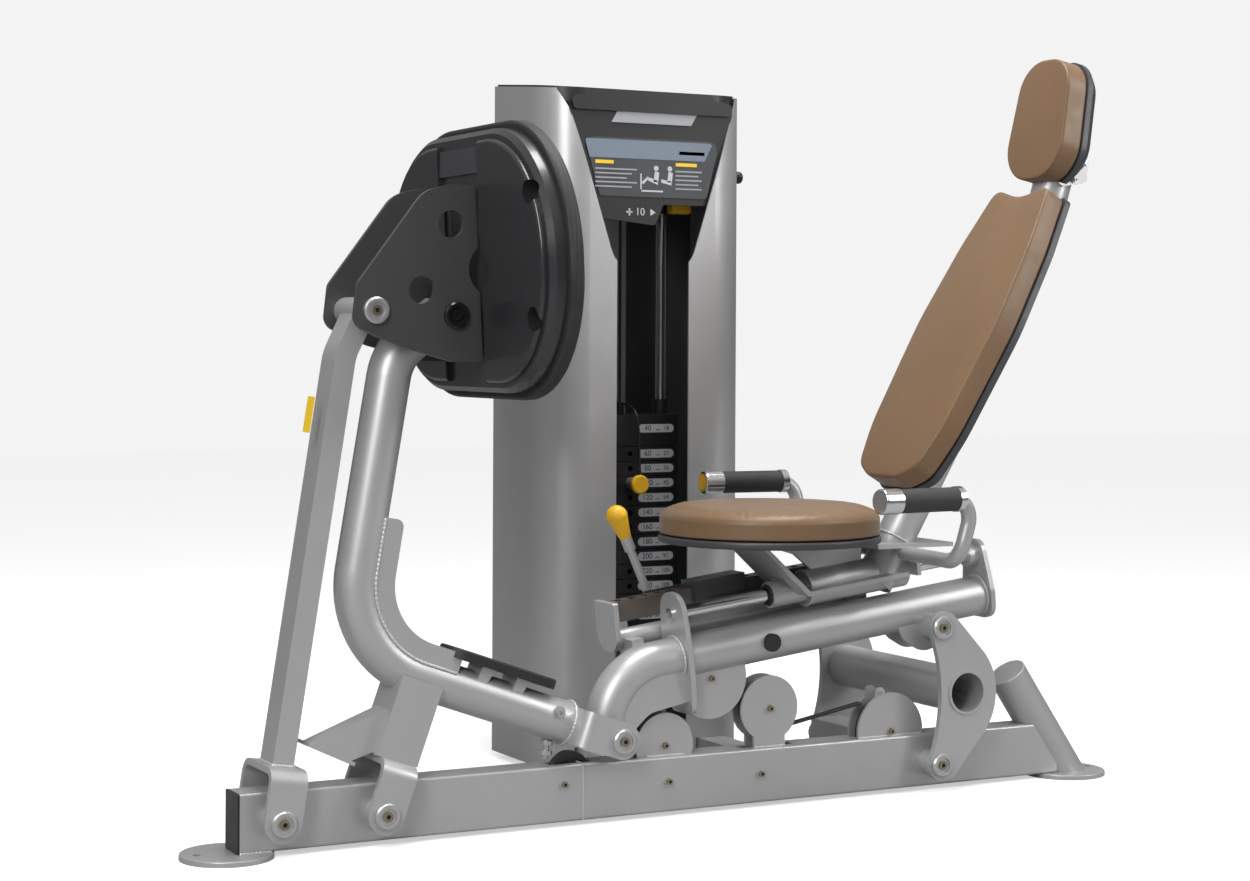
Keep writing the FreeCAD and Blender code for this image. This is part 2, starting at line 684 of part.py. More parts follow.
def arm_path():
    return [ARM_TOP_PIVOT, ARM_TOP_CORNER, ARM_CORNER, ARM_LOW_END], [0, 100, 170, 0]


def arm_solid():
    points, radii = arm_path()
    return round_sweep(points, radii, TUBE_RADIUS)


def arm_tube():
    points, radii = arm_path()
    arm = bent_tube(points, radii, TUBE_RADIUS, TUBE_BORE)
    arm = arm.cut(across(ARM_TOP_PIVOT, -60, 60, SLEEVE_RADIUS))
    arm = arm.cut(arm_yoke_space())
    return one_solid(arm)


def arm_yoke_space():
    """The rear yoke's crown region, kept clear of the tube."""
    return yoke(ARM_REAR_PIVOT, ARM_LOW_END, 86.0)


def arm_top_sleeve():
    return sleeve(ARM_TOP_PIVOT, SLEEVE_HALF)


def arm_gussets():
    start = ARM_CORNER + (ARM_TOP_CORNER - ARM_CORNER).normalize() * 240
    end = ARM_CORNER + (ARM_LOW_END - ARM_CORNER).normalize() * 205
    plates = bend_plates(start, ARM_CORNER, end, 170, 16, 60, -32, -26)
    return [one_solid(plate.cut(arm_solid())) for plate in plates]


STUB_TOP = V(328, 0, 283)
STUB_HALF_X = 40.0
STUB_HALF_Y = 44.0
ARM_PAD_CENTRE = V(487, 0, 285)
ARM_PAD_TILT = -19.6


def arm_stub():
    """Square post between the base yoke and the arm tube, with a saddle."""
    direction = (STUB_TOP - ARM_PIVOT).normalize()
    start = ARM_PIVOT + direction * 92
    post = rectangle_sweep([start, STUB_TOP], [0, 0], STUB_HALF_X, STUB_HALF_Y)
    hollow = rectangle_sweep([start - direction, STUB_TOP + direction], [0, 0],
                             STUB_HALF_X - WALL, STUB_HALF_Y - WALL)
    return one_solid(post.cut(hollow).cut(arm_solid()))


def arm_base_yoke():
    return yoke(ARM_PIVOT, STUB_TOP, 92.0)


def stop_bracket():
    """Short brace and slanted stop plate in front of the stub."""
    brace = slab_y([(290, 244), (132, 184), (202, 151), (290, 178)], [0] * 4, -25, 25)
    direction = (STUB_TOP - ARM_PIVOT).normalize()
    start = ARM_PIVOT + direction * 60
    post = rectangle_sweep([start, STUB_TOP + direction * 20], [0, 0], STUB_HALF_X, 60)
    plate = slab_y([(122, 189), (206, 149), (203.5, 143), (119.5, 183)], [0] * 4, -36, 36)
    return [one_solid(brace.cut(post).cut(plate)), plate]


def arm_rear_yoke():
    return yoke(ARM_REAR_PIVOT, ARM_LOW_END, 86.0)


def arm_pad():
    """Rubber step pad on top of the arm."""
    half, radius, thick = 70.0, 46.0, 18.0
    pad = box(-half, half, -radius, radius, 0, thick)
    for x in (-half, half):
        pad = pad.fuse(rod(V(x, 0, 0), V(x, 0, thick), radius))
    pad = pad.removeSplitter()
    pad = pad.makeFillet(4, [e for e in pad.Edges if abs(e.BoundBox.ZMin - thick) < 0.01])
    pad = turned(pad, V(0, 0, 0), ARM_PAD_TILT)
    pad.translate(ARM_PAD_CENTRE)
    for piece in [arm_solid()] + arm_gussets():
        pad = pad.cut(piece)
    return one_solid(pad)


def pad_brackets():
    """Two folded triangular feet between the pad and the arm tube."""
    solids = []
    for x in (-42, 30):
        foot = slab_y([(x, 0), (x + 26, 0), (x + 13, -42), (x - 4, -42)], [0] * 4, -30, 30)
        foot = turned(foot, V(0, 0, 0), ARM_PAD_TILT)
        foot.translate(ARM_PAD_CENTRE)
        solids.append(one_solid(foot.cut(arm_solid())))
    return solids


def cable_adjuster():
    """Threaded rod with two nuts under the arm that holds the cable end."""
    top = V(588, 0, 158)
    bottom = V(584, 0, 122)
    direction = (bottom - top).normalize()
    stud = rod(top, bottom, 6)
    for offset in (4, 22):
        stud = stud.fuse(rod(top + direction * offset, top + direction * (offset + 8), 12))
    return stud.cut(arm_solid()).removeSplitter()


def arm_side_bolt():
    solids = []
    for side in (-1, 1):
        head = bolt_head(V(595, 0, 208), side * (TUBE_RADIUS - 3), side, 12.0)
        solids.append(one_solid(head.cut(arm_solid())))
    return solids


LINK_BEND = V(186, 0, 850)


def link_bar():
    """Rectangular link bar from its yoke up to the footplate bracket."""
    direction = (LINK_BEND - LINK_PIVOT).normalize()
    start = LINK_PIVOT + direction * 90
    points = [start, LINK_BEND, LINK_TOP_PIVOT]
    outer = rectangle_sweep(points, [0, 90, 0], 19, 32)
    inner = rectangle_sweep(points, [0, 90, 0], 16, 29)
    bar = outer.cut(inner)
    return one_solid(bar.cut(across(LINK_TOP_PIVOT, -70, 70, SLEEVE_RADIUS)))


def link_yoke():
    return yoke(LINK_PIVOT, LINK_BEND, 90.0)


def link_top_sleeve():
    return sleeve(LINK_TOP_PIVOT, SLEEVE_HALF, SLEEVE_RADIUS, LINK_TOP_BORE_RADIUS)


# ---------------------------------------------------------------- footplate

def footplate_side():
    """One cheek plate of the footplate bracket."""
    outline = [(182, 900), (190, 972), (312, 1134), (362, 1146), (407, 1146),
               (424, 838), (366, 838), (262, 866)]
    plate = slab_y(outline, [26, 24, 60, 20, 0, 0, 30, 30], -YOKE_HALF, 11 - YOKE_HALF)
    for x, z, r in ((362, 1077, 24), (308, 962, 24), (444, 1000, 48)):
        plate = plate.cut(across(V(x, 0, z), -80, 80, r))
    for pivot in (LINK_TOP_PIVOT, ARM_TOP_PIVOT):
        plate = plate.cut(across(pivot, -80, 80, BORE_RADIUS))
    return plate


def footplate_bracket():
    plate = footplate_side()
    return [plate, mirrored_y(plate)]


def footplate_outline(shrink, x0, x1):
    """Rounded footplate shape, upright, between two X planes."""
    y = FOOTPLATE_HALF_WIDTH - shrink
    z = FOOTPLATE_HALF_HEIGHT - shrink
    outline = [(-y, -z), (-y, z), (y, z), (y, -z)]
    top, low = 240 - shrink, 225 - shrink
    return slab_x(outline, [low, top, top, low], x0, x1)


def place_footplate(shape):
    placed = turned(shape, V(0, 0, 0), -FOOTPLATE_LEAN)
    placed.translate(FOOTPLATE_CENTRE)
    return placed


def footplate_shell():
    """Dished backing plate with a recessed centre channel and oval holes."""
    back = footplate_outline(14, 12, 42)
    back = back.makeChamfer(9, [e for e in back.Edges if abs(e.BoundBox.XMax - 12) < 0.01])
    raised = footplate_outline(32, 2, 12)
    raised = raised.makeFillet(7, [e for e in raised.Edges if abs(e.BoundBox.XMax - 2) < 0.01])
    channel = box(0, 11, -86, 86, -260, 260)
    raised = raised.cut(channel)
    shell = back.fuse(raised)
    for z in (111, -101):
        for y in (-285, 285):
            shell = shell.cut(rod(V(0, y, z), V(34, y, z), 21))
    return place_footplate(one_solid(shell))


def footplate_rubber():
    pad = footplate_outline(0, 42, 68)
    pad = pad.makeFillet(7, [e for e in pad.Edges if e.BoundBox.XLength < 0.01])
    return place_footplate(pad)


# ---------------------------------------------------------------- carriage

CARRIAGE_BEND_RADIUS = 112.0


def carriage_path():
    start = to_carriage(ARM_REAR_PIVOT)
    return [start, V(0, 0, 0), V(CARRIAGE_LENGTH, 0, 0)], [0, CARRIAGE_BEND_RADIUS, 0]


def carriage_solid():
    points, radii = carriage_path()
    return round_sweep(points, radii, TUBE_RADIUS)


def carriage_tube():
    points, radii = carriage_path()
    body = bent_tube(points, radii, TUBE_RADIUS, TUBE_BORE)
    body = body.cut(across(points[0], -80, 80, SLEEVE_RADIUS))
    body = body.cut(box(-200, 200, -80, 80, -300, points[0].z))
    top = to_carriage(ROCKER_TOP_PIVOT)
    body = body.cut(across(top, -80, 80, SLEEVE_RADIUS))
    body = on_carriage(one_solid(body))
    return one_solid(body.cut(carriage_wheel_slot(PULLEY_CARRIAGE[2] + 4)))


def carriage_front_sleeve():
    return sleeve(ARM_REAR_PIVOT, SLEEVE_HALF)


def carriage_gussets():
    points, _ = carriage_path()
    corner = points[1]
    start = corner + (points[0] - corner).normalize() * 100
    end = V(FRONT_PLATE_S, 0, 0)
    outline_near = offset_corner(start, corner, end, 14)
    outline = [(p.x, p.z) for p in outline_near]
    outline += [(FRONT_PLATE_S, -78), (56, -84), (8, -118)]
    plate = slab_y(outline, [0, CARRIAGE_BEND_RADIUS - 14, 0, 0, 40, 0], -33, -27)
    pieces = []
    pivot = points[0]
    keep = across(pivot, -90, 90, SLEEVE_RADIUS + 1)
    for piece in (plate, mirrored_y(plate)):
        pieces.append(on_carriage(one_solid(piece.cut(carriage_solid()).cut(keep))))
    return pieces


def carriage_wheel_slot(radius):
    return across(PULLEY_CARRIAGE[0], -12, 12, radius)


def carriage_housing():
    """Cheeks, axle and screws of the wheel that hangs under the carriage tube."""
    tube_bar = on_carriage(carriage_solid())
    plate = on_carriage(box(FRONT_PLATE_S, FRONT_PLATE_S + PLATE, -60, 60, -110, 0))
    pieces = []
    for piece in housing(PULLEY_CARRIAGE, None, 0):
        trimmed = piece.cut(tube_bar).cut(plate)
        pieces.append(one_solid(trimmed))
    return pieces


def rod_supports():
    """Front and rear plates that carry the seat rod above the tube."""
    lobe = [(-40, 122), (40, 122), (48, 40), (50, -30), (40, -104), (-40, -104), (-50, -30), (-48, 40)]
    front = slab_x(lobe, [38, 38, 40, 60, 16, 16, 60, 40], FRONT_PLATE_S, FRONT_PLATE_S + PLATE)
    front = front.cut(rod(V(100, 0, 0), V(200, 0, 0), TUBE_RADIUS))
    rear_outline = [(-28, 112), (28, 112), (48, 10), (44, -44), (-44, -44), (-48, 10)]
    rear = slab_x(rear_outline, [26, 26, 40, 30, 30, 40], REAR_PLATE_S, REAR_PLATE_S + PLATE)
    boss = rod(V(REAR_PLATE_S - 22, 0, ROD_RISE), V(REAR_PLATE_S, 0, ROD_RISE), 22)
    rear = rear.fuse(boss)
    pieces = []
    for piece in (front, rear):
        piece = piece.cut(rod(V(0, 0, ROD_RISE), V(900, 0, ROD_RISE), ROD_RADIUS))
        placed = on_carriage(one_solid(piece))
        pieces.append(one_solid(placed.cut(carriage_wheel_slot(PULLEY_CARRIAGE[2] + 4))))
    return pieces


def seat_rod():
    return on_carriage(rod(V(FRONT_PLATE_S - 6, 0, ROD_RISE),
                           V(REAR_PLATE_S + PLATE, 0, ROD_RISE), ROD_RADIUS))


def slotted_rail():
    """Latch rail with a row of slots along its top."""
    rail = box(50, 600, LATCH_Y0, LATCH_Y1, 71, 109)
    for index in range(18):
        s = 74 + index * 28
        rail = rail.cut(box(s, s + 13, LATCH_Y0 + 7, LATCH_Y1 - 7, 92, 112))
    return on_carriage(rail)


def latch_rail_mount():
    """End plate, support tube, lugs and risers of the latch rail."""
    plate = slab_x([(38, 114), (116, 114), (116, 20), (38, 20)], [4, 4, 34, 34], 40, 50)
    support = rod(V(50, 72, 40), V(586, 72, 40), 20)
    pieces = [plate, support]
    for s in (62, 560):
        lug = box(s, s + 24, 20, 72, 4, 44)
        lug = lug.cut(support).cut(carriage_solid())
        riser = box(s, s + 24, LATCH_Y0, 90, 44, 71).cut(support)
        pieces += [one_solid(lug), one_solid(riser)]
    return [on_carriage(piece) for piece in pieces]


def rocker_hanger():
    """Two curved cheeks and the long bearing sleeve that carry the rockers."""
    top = to_carriage(ROCKER_TOP_PIVOT)
    cheek = slab_y([(top.x - 76, -10), (top.x - 60, -52), (top.x - 20, -82), (top.x + 26, -76),
                    (top.x + 44, -10)], [0, 30, 40, 30, 0], -30, -24)
    pieces = []
    for piece in (cheek, mirrored_y(cheek)):
        piece = piece.cut(carriage_solid()).cut(across(top, -90, 90, SLEEVE_RADIUS))
        pieces.append(on_carriage(one_solid(piece)))
    near = NEAR_ROCKER_Y + ROCKER_PLATE + 1
    far = FAR_ROCKER_Y - 1
    bar = across(ROCKER_TOP_PIVOT, near, far, SLEEVE_RADIUS)
    for start, end in ((near - 1, near + 36), (far - 36, far + 1)):
        bar = bar.cut(across(ROCKER_TOP_PIVOT, start, end, PIN_RADIUS))
    return pieces + [bar]


def tube_plug():
    """Round black plug in the side of the carriage tube."""
    plug = rod(V(325, -46, 0), V(325, -20, 0), 17)
    return on_carriage(one_solid(plug.cut(carriage_solid())))


def side_pin(centre, y_plate, inward, depth):
    """A pin in the end of a sleeve with a cap outside one plate."""
    outward = -inward
    shaft = across(centre, y_plate - outward * depth, y_plate + outward, PIN_RADIUS)
    return shaft.fuse(cap(centre, y_plate, outward)).removeSplitter()


def carriage_pins():
    near_face = NEAR_ROCKER_Y - 1
    far_face = FAR_ROCKER_Y + ROCKER_PLATE + 1
    return [side_pin(ROCKER_TOP_PIVOT, near_face, 1, 48),
            side_pin(ROCKER_TOP_PIVOT, far_face, -1, 48)]


# ---------------------------------------------------------------- rocker

def rocker_plate(y0):
    """Crescent plate between the carriage and the base."""
    outline = [(1366, 353), (1425, 353), (1532, 240), (1532, 145), (1428, 27), (1366, 27), (1420, 190)]
    plate = slab_y(outline, [26, 26, 116, 116, 28, 26, 330], y0, y0 + ROCKER_PLATE)
    plate = plate.cut(across(ROCKER_TOP_PIVOT, y0 - 1, y0 + 20, ROCKER_TOP_BORE_RADIUS))
    plate = plate.cut(across(ROCKER_BASE_PIVOT, y0 - 1, y0 + 20, BORE_RADIUS))
    return plate


def rocker_near():
    plate = rocker_plate(NEAR_ROCKER_Y)
    return plate.cut(across(ROCKER_TUBE_CENTRE, -100, 0, ROCKER_TUBE_RADIUS))


def rocker_tube():
    y0, y1 = NEAR_ROCKER_Y - 3, FAR_ROCKER_Y
    outer = across(ROCKER_TUBE_CENTRE, y0, y1, ROCKER_TUBE_RADIUS)
    return outer.cut(across(ROCKER_TUBE_CENTRE, y0, y1, ROCKER_TUBE_RADIUS - 5))


def rocker_pins():
    return [side_pin(ROCKER_BASE_PIVOT, NEAR_ROCKER_Y, 1, 50),
            side_pin(ROCKER_BASE_PIVOT, FAR_ROCKER_Y + ROCKER_PLATE, -1, 50)]


# ---------------------------------------------------------------- seat

POST_START = V(1302, 0, 424)
POST_BEND = V(1676, 0, 1050)
POST_END = V(1744, 0, 1262)
SLEEVE_START = 350.0
SLEEVE_STEP = 430.0
SLEEVE_END = 655.0
STRAP_HALF = 66.0


def post_solid(radius):
    start = POST_START - (POST_BEND - POST_START).normalize() * 20
    return round_sweep([start, POST_BEND, POST_END], [0, 300, 0], radius)


def seat_sleeve_solid():
    front = rod(V(SLEEVE_START, 0, ROD_RISE), V(SLEEVE_STEP, 0, ROD_RISE), 25)
    rear = rod(V(SLEEVE_STEP, 0, ROD_RISE), V(SLEEVE_END, 0, ROD_RISE), 34)
    return on_carriage(front.fuse(rear))


def seat_sleeve():
    bore = on_carriage(rod(V(0, 0, ROD_RISE), V(900, 0, ROD_RISE), ROD_RADIUS + 0.06))
    return one_solid(seat_sleeve_solid().cut(bore))


def seat_post():
    post = post_solid(TUBE_RADIUS - 1).cut(post_solid(TUBE_BORE - 1))
    rod_space = on_carriage(rod(V(SLEEVE_START, 0, ROD_RISE), V(900, 0, ROD_RISE), ROD_RADIUS + 2))
    return one_solid(post.cut(seat_sleeve_solid()).cut(rod_space))


def seat_bracket():
    """Wide bent strap from under the seat down to the sleeve, with its end plate."""
    strip = slab_y([(950, 497), (1062, 497), (1062, 489), (1014, 489), (1108, 405),
                    (1330, 433), (1331, 425), (1104, 396), (1002, 489), (950, 489)],
                   [0] * 10, -STRAP_HALF, STRAP_HALF)
    strip = strip.cut(seat_sleeve_solid())
    strip = strip.cut(on_carriage(box(300, 700, -25, 25, 60, 110)))
    end = box(SLEEVE_END, SLEEVE_END + 8, -60, 60, 74, 112)
    end = end.cut(rod(V(600, 0, ROD_RISE), V(700, 0, ROD_RISE), ROD_RADIUS + 2))
    return [one_solid(strip), on_carriage(end)]


def seat_web():
    """Upright web and post plate between sleeve, seat and post."""
    web = slab_y([(1050, 488), (1262, 488), (1262, 430), (1180, 415), (1110, 470)], [0] * 5, -4, 4)
    web = web.cut(seat_sleeve_solid())
    plate = box(1256, 1431, -72, 72, 480, 488)
    plate = plate.cut(post_solid(TUBE_RADIUS - 1))
    return [one_solid(web.cut(plate).cut(seat_post_keepout())), one_solid(plate)]


def seat_post_keepout():
    return post_solid(TUBE_RADIUS)


def seat_base():
    disc = rod(V(SEAT_CENTRE_X, 0, SEAT_BASE_Z), V(SEAT_CENTRE_X, 0, SEAT_PAD_Z), SEAT_RADIUS + 3)
    return disc.makeFillet(5, [e for e in disc.Edges if e.BoundBox.ZLength < 0.01])


def seat_pad():
    disc = rod(V(SEAT_CENTRE_X, 0, SEAT_PAD_Z), V(SEAT_CENTRE_X, 0, 562), SEAT_RADIUS)
    top = [e for e in disc.Edges if abs(e.BoundBox.ZMin - 562) < 0.01 and e.BoundBox.ZLength < 0.01]
    return disc.makeFillet(14, top)


def back_outline(shrink):
    """Half widths of the back pad from bottom to top."""
    rows = [(-58, 52), (-30, 100), (60, 124), (300, 136), (480, 118), (617, 90)]
    left = [(-half + shrink, u) for u, half in rows]
    right = [(half - shrink, u) for u, half in reversed(rows)]
    left[0] = (left[0][0], left[0][1] + shrink)
    right[-1] = (right[-1][0], right[-1][1] + shrink)
    left[-1] = (left[-1][0], left[-1][1] - shrink)
    right[0] = (right[0][0], right[0][1] - shrink)
    notch = [(0, 592 - shrink)]
    return left + notch + right


def place_back(shape):
    placed = turned(shape, V(0, 0, 0), -BACK_LEAN)
    placed.translate(BACK_FOOT)
    return placed


def back_layer(shrink, n0, n1):
    outline = back_outline(shrink)
    radii = [30, 30, 300, 500, 300, 16, 90, 16, 300, 500, 300, 30, 30]
    return slab_x(outline, radii, n0, n1)


def back_pad():
    pad = place_back(back_layer(3, 0, 48))
    return one_solid(pad.cut(post_solid(TUBE_RADIUS - 1)))


def back_shell():
    shell = place_back(back_layer(0, 48, 61))
    return one_solid(shell.cut(post_solid(TUBE_RADIUS - 1)))


def place_head(shape):
    placed = turned(shape, V(0, 0, 0), -HEAD_LEAN)
    placed.translate(HEAD_FOOT)
    return placed


def head_outline(scale):
    rows = [(-97, -6), (-78, 252)]
    middle = 123
    left = [(y * scale, middle + (u - middle) * scale) for y, u in rows]
    right = [(-y, u) for y, u in reversed(left)]
    return left + right


def head_layer(scale, n0, n1):
    radii = [78 * scale, 70 * scale]
    return slab_x(head_outline(scale), radii + radii[::-1], n0, n1)


def head_pad():
    pad = place_head(head_layer(0.97, 0, 50))
    return one_solid(pad.cut(post_solid(TUBE_RADIUS - 1)))


def head_shell():
    """Domed shell behind the headrest pad."""
    wires = []
    for scale, n in ((1.0, 50), (1.0, 62), (0.88, 78), (0.58, 92)):
        points = [V(n, y, u) for y, u in head_outline(scale)]
        radii = [78 * scale, 70 * scale]
        wires.append(rounded_wire(points, radii + radii[::-1], True))
    dome = Part.makeLoft(wires, True, True)
    dome = place_head(dome).cut(post_solid(TUBE_RADIUS - 0.5))
    for x, z in HEAD_BOLTS:
        for y0, y1 in ((-60, -43.5), (43.5, 60)):
            dome = dome.cut(across(V(x, 0, z), y0, y1, HEAD_BOLT_RADIUS + 1))
    return one_solid(dome)


def head_bracket():
    """Cheek plates that hold the headrest to the post."""
    solids = []
    for side in (-1, 1):
        y0, y1 = sorted((side * 39, side * 44))
        cheek = slab_y([(1700, 1190), (1776, 1200), (1786, 1290), (1730, 1300)], [14] * 4, y0, y1)
        cheek = cheek.cut(place_head(head_layer(1.0, 0, 62)))
        cheek = cheek.cut(head_shell())
        solids.append(one_solid(cheek))
        for x, z in HEAD_BOLTS:
            solids.append(bolt_head(V(x, 0, z), side * 44, side, HEAD_BOLT_RADIUS))
    return solids


def handle_path(side):
    """Tube from the post plate out, up and forward into the grip."""
    rear = V(HANDLE_MIDDLE_X + 128, side * (HANDLE_Y - 6), HANDLE_Z)
    front = V(HANDLE_MIDDLE_X - 88, side * (HANDLE_Y + 12), HANDLE_Z)
    low = V(1284, side * 292, 472)
    inner = V(1322, side * 60, 470)
    return [inner, low, rear, front], [0, 42, 40, 0]


def handle_tubes():
    solids = []
    for side in (-1, 1):
        points, radii = handle_path(side)
        bar = round_sweep(points, radii, HANDLE_RADIUS)
        solids.append(bar.cut(box(1250, 1440, -72, 72, 470, 500)))
    return [one_solid(piece) for piece in solids]


def grip_axis(side):
    points, _ = handle_path(side)
    return points[3], (points[2] - points[3]).normalize()


def grips():
    solids = []
    for side in (-1, 1):
        front, along = grip_axis(side)
        sleeve_part = rod(front + along * GRIP_START, front + along * GRIP_END, 22)
        solids.append(sleeve_part.cut(rod(front, front + along * 300, HANDLE_RADIUS)))
    return solids


def grip_collars():
    """Chrome end cap and ring on each grip."""
    solids = []
    for side in (-1, 1):
        front, along = grip_axis(side)
        points, radii = handle_path(side)
        bar = round_sweep(points, radii, HANDLE_RADIUS)
        end_cap = rod(front - along * 6, front + along * GRIP_START, 23.5)
        end_cap = end_cap.makeFillet(4, [e for e in end_cap.Edges if e.Length > 100
                                         and (e.CenterOfMass - front).Length < 10])
        ring = rod(front + along * GRIP_END, front + along * (GRIP_END + 14), 23.5)
        for piece in (end_cap, ring):
            solids.append(one_solid(piece.cut(bar)))
    return solids


# ---------------------------------------------------------------- seat latch

LEVER_Y = 132.0
LEVER_KNOB = V(803, LEVER_Y, 533)


def carriage_point(s, y, t):
    """A point of the carriage frame in machine coordinates."""
    angle = math.radians(CARRIAGE_SLOPE)
    x = CARRIAGE_START.x + s * math.cos(angle) - t * math.sin(angle)
    z = CARRIAGE_START.z + s * math.sin(angle) + t * math.cos(angle)
    return V(x, y, z)


LEVER_PIVOT = carriage_point(168, LEVER_Y, 92)


def latch_box():
    """Sleeve that slides on the latch rail, joined to the seat strap."""
    outer = box(232, 345, 70, 120, 63, 121)
    inner = box(200, 400, LATCH_Y0 - 1, LATCH_Y1 + 1, 70, 110)
    arm = box(262, 400, 58, 70, 77, 85)
    cheek = box(150, 300, 120, 123.6, 74, 112)
    strap = seat_bracket()[0]
    placed = [on_carriage(piece) for piece in (outer.cut(inner), arm, cheek)]
    placed[1] = one_solid(placed[1].cut(strap))
    pin = rod(V(LEVER_PIVOT.x, 123.6, LEVER_PIVOT.z), V(LEVER_PIVOT.x, 144, LEVER_PIVOT.z), 6.0)
    head = rod(V(LEVER_PIVOT.x, 142, LEVER_PIVOT.z), V(LEVER_PIVOT.x, 147, LEVER_PIVOT.z), 11)
    return placed + [pin.fuse(head).removeSplitter()]


def seat_lever():
    along = (LEVER_KNOB - LEVER_PIVOT).normalize()
    length = (LEVER_KNOB - LEVER_PIVOT).Length
    bar = rod(LEVER_PIVOT, LEVER_PIVOT + along * (length - 34), 8)
    collar = rod(LEVER_PIVOT + along * (length - 60), LEVER_PIVOT + along * (length - 30), 11)
    eye = across(LEVER_PIVOT, LEVER_Y - 6, LEVER_Y + 8, 16)
    lever = bar.fuse(collar).fuse(eye).removeSplitter()
    return one_solid(lever.cut(across(LEVER_PIVOT, LEVER_Y - 12, LEVER_Y + 14, 6.05)))


def lever_bulb():
    along = (LEVER_KNOB - LEVER_PIVOT).normalize()
    base = LEVER_KNOB - along * 34
    neck = Part.makeCone(11, 20, 44, base, along)
    ball = Part.makeSphere(20.5, base + along * 46)
    return neck.fuse(ball).removeSplitter().cut(seat_lever())


# ---------------------------------------------------------------- cables

def fixed_cables():
    """Paired run between two housings, and the run up the tower column."""
    solids = []
    for y in (-CABLE_Y, CABLE_Y):
        solids.append(rod(V(1098, y, 146), V(1262, y, 176), CABLE_RADIUS))
    centre, radius = TOP_WHEEL
    reach = radius + 1.5
    front = centre.y - reach
    back = centre.y + reach
    points = [V(TOWER_X, front, centre.z + 2), V(TOWER_X, front, centre.z + reach),
              V(TOWER_X, back, centre.z + reach), V(TOWER_X, back, CABLE_EXIT_Z),
              V(TOWER_X, 20, CABLE_EXIT_Z)]
    solids.append(round_sweep(points, [0, reach - 2.1, reach - 2.1, 40, 0], CABLE_RADIUS))
    return solids


def lift_cable():
    """Upright part of the lift cable between the head plate and the wheel."""
    top = TOP_WHEEL[0].z
    return rod(V(TOWER_X, STACK_Y, HEAD_TOP + 26), V(TOWER_X, STACK_Y, top), CABLE_RADIUS)


LANYARD_POINTS = [V(1041, 562, 743), V(1039, 510, 741), V(1044, 500, 684),
                  V(1040, 494, 634), V(1038, 485, 599)]
LANYARD_RADIUS = 2.5


def free_cord_radii(points):
    """Bend radii of a limp cord: as large as the shorter run allows."""
    radii = [0]
    for before, corner, after in zip(points, points[1:], points[2:]):
        to_before = before - corner
        to_after = after - corner
        half = to_before.getAngle(to_after) / 2
        half_turn = math.pi / 2 - half
        radii.append(0.45 * min(to_before.Length, to_after.Length) / math.tan(half_turn))
    return radii + [0]


def pin_lanyard():
    radii = free_cord_radii(LANYARD_POINTS)
    print("lanyard bend radii", [round(radius, 1) for radius in radii])
    return round_sweep(LANYARD_POINTS, radii, LANYARD_RADIUS)


# ---------------------------------------------------------------- all nodes

def base_crossmembers():
    return cross_frame() + pivot_sleeves() + rear_brace()


def pulley_housings():
    solids = rail_bolts() + rear_ears()
    for pulley, neck in ((PULLEY_FRONT, 40), (PULLEY_MIDDLE, 34), (PULLEY_REAR, 75)):
        solids += housing(pulley, RAIL_TOP, neck)
    axle = across(PULLEY_RAIL[0], WALL - RAIL_HALF_WIDTH, RAIL_HALF_WIDTH - WALL, AXLE_RADIUS)
    return solids + [axle.cut(base_rail())]


def lower_weight_plates():
    return [stack_plate(level) for level in range(LOWER_COUNT)]


def lifted_weight_plates():
    return [stack_plate(LOWER_COUNT + level) for level in range(LIFTED_COUNT)]


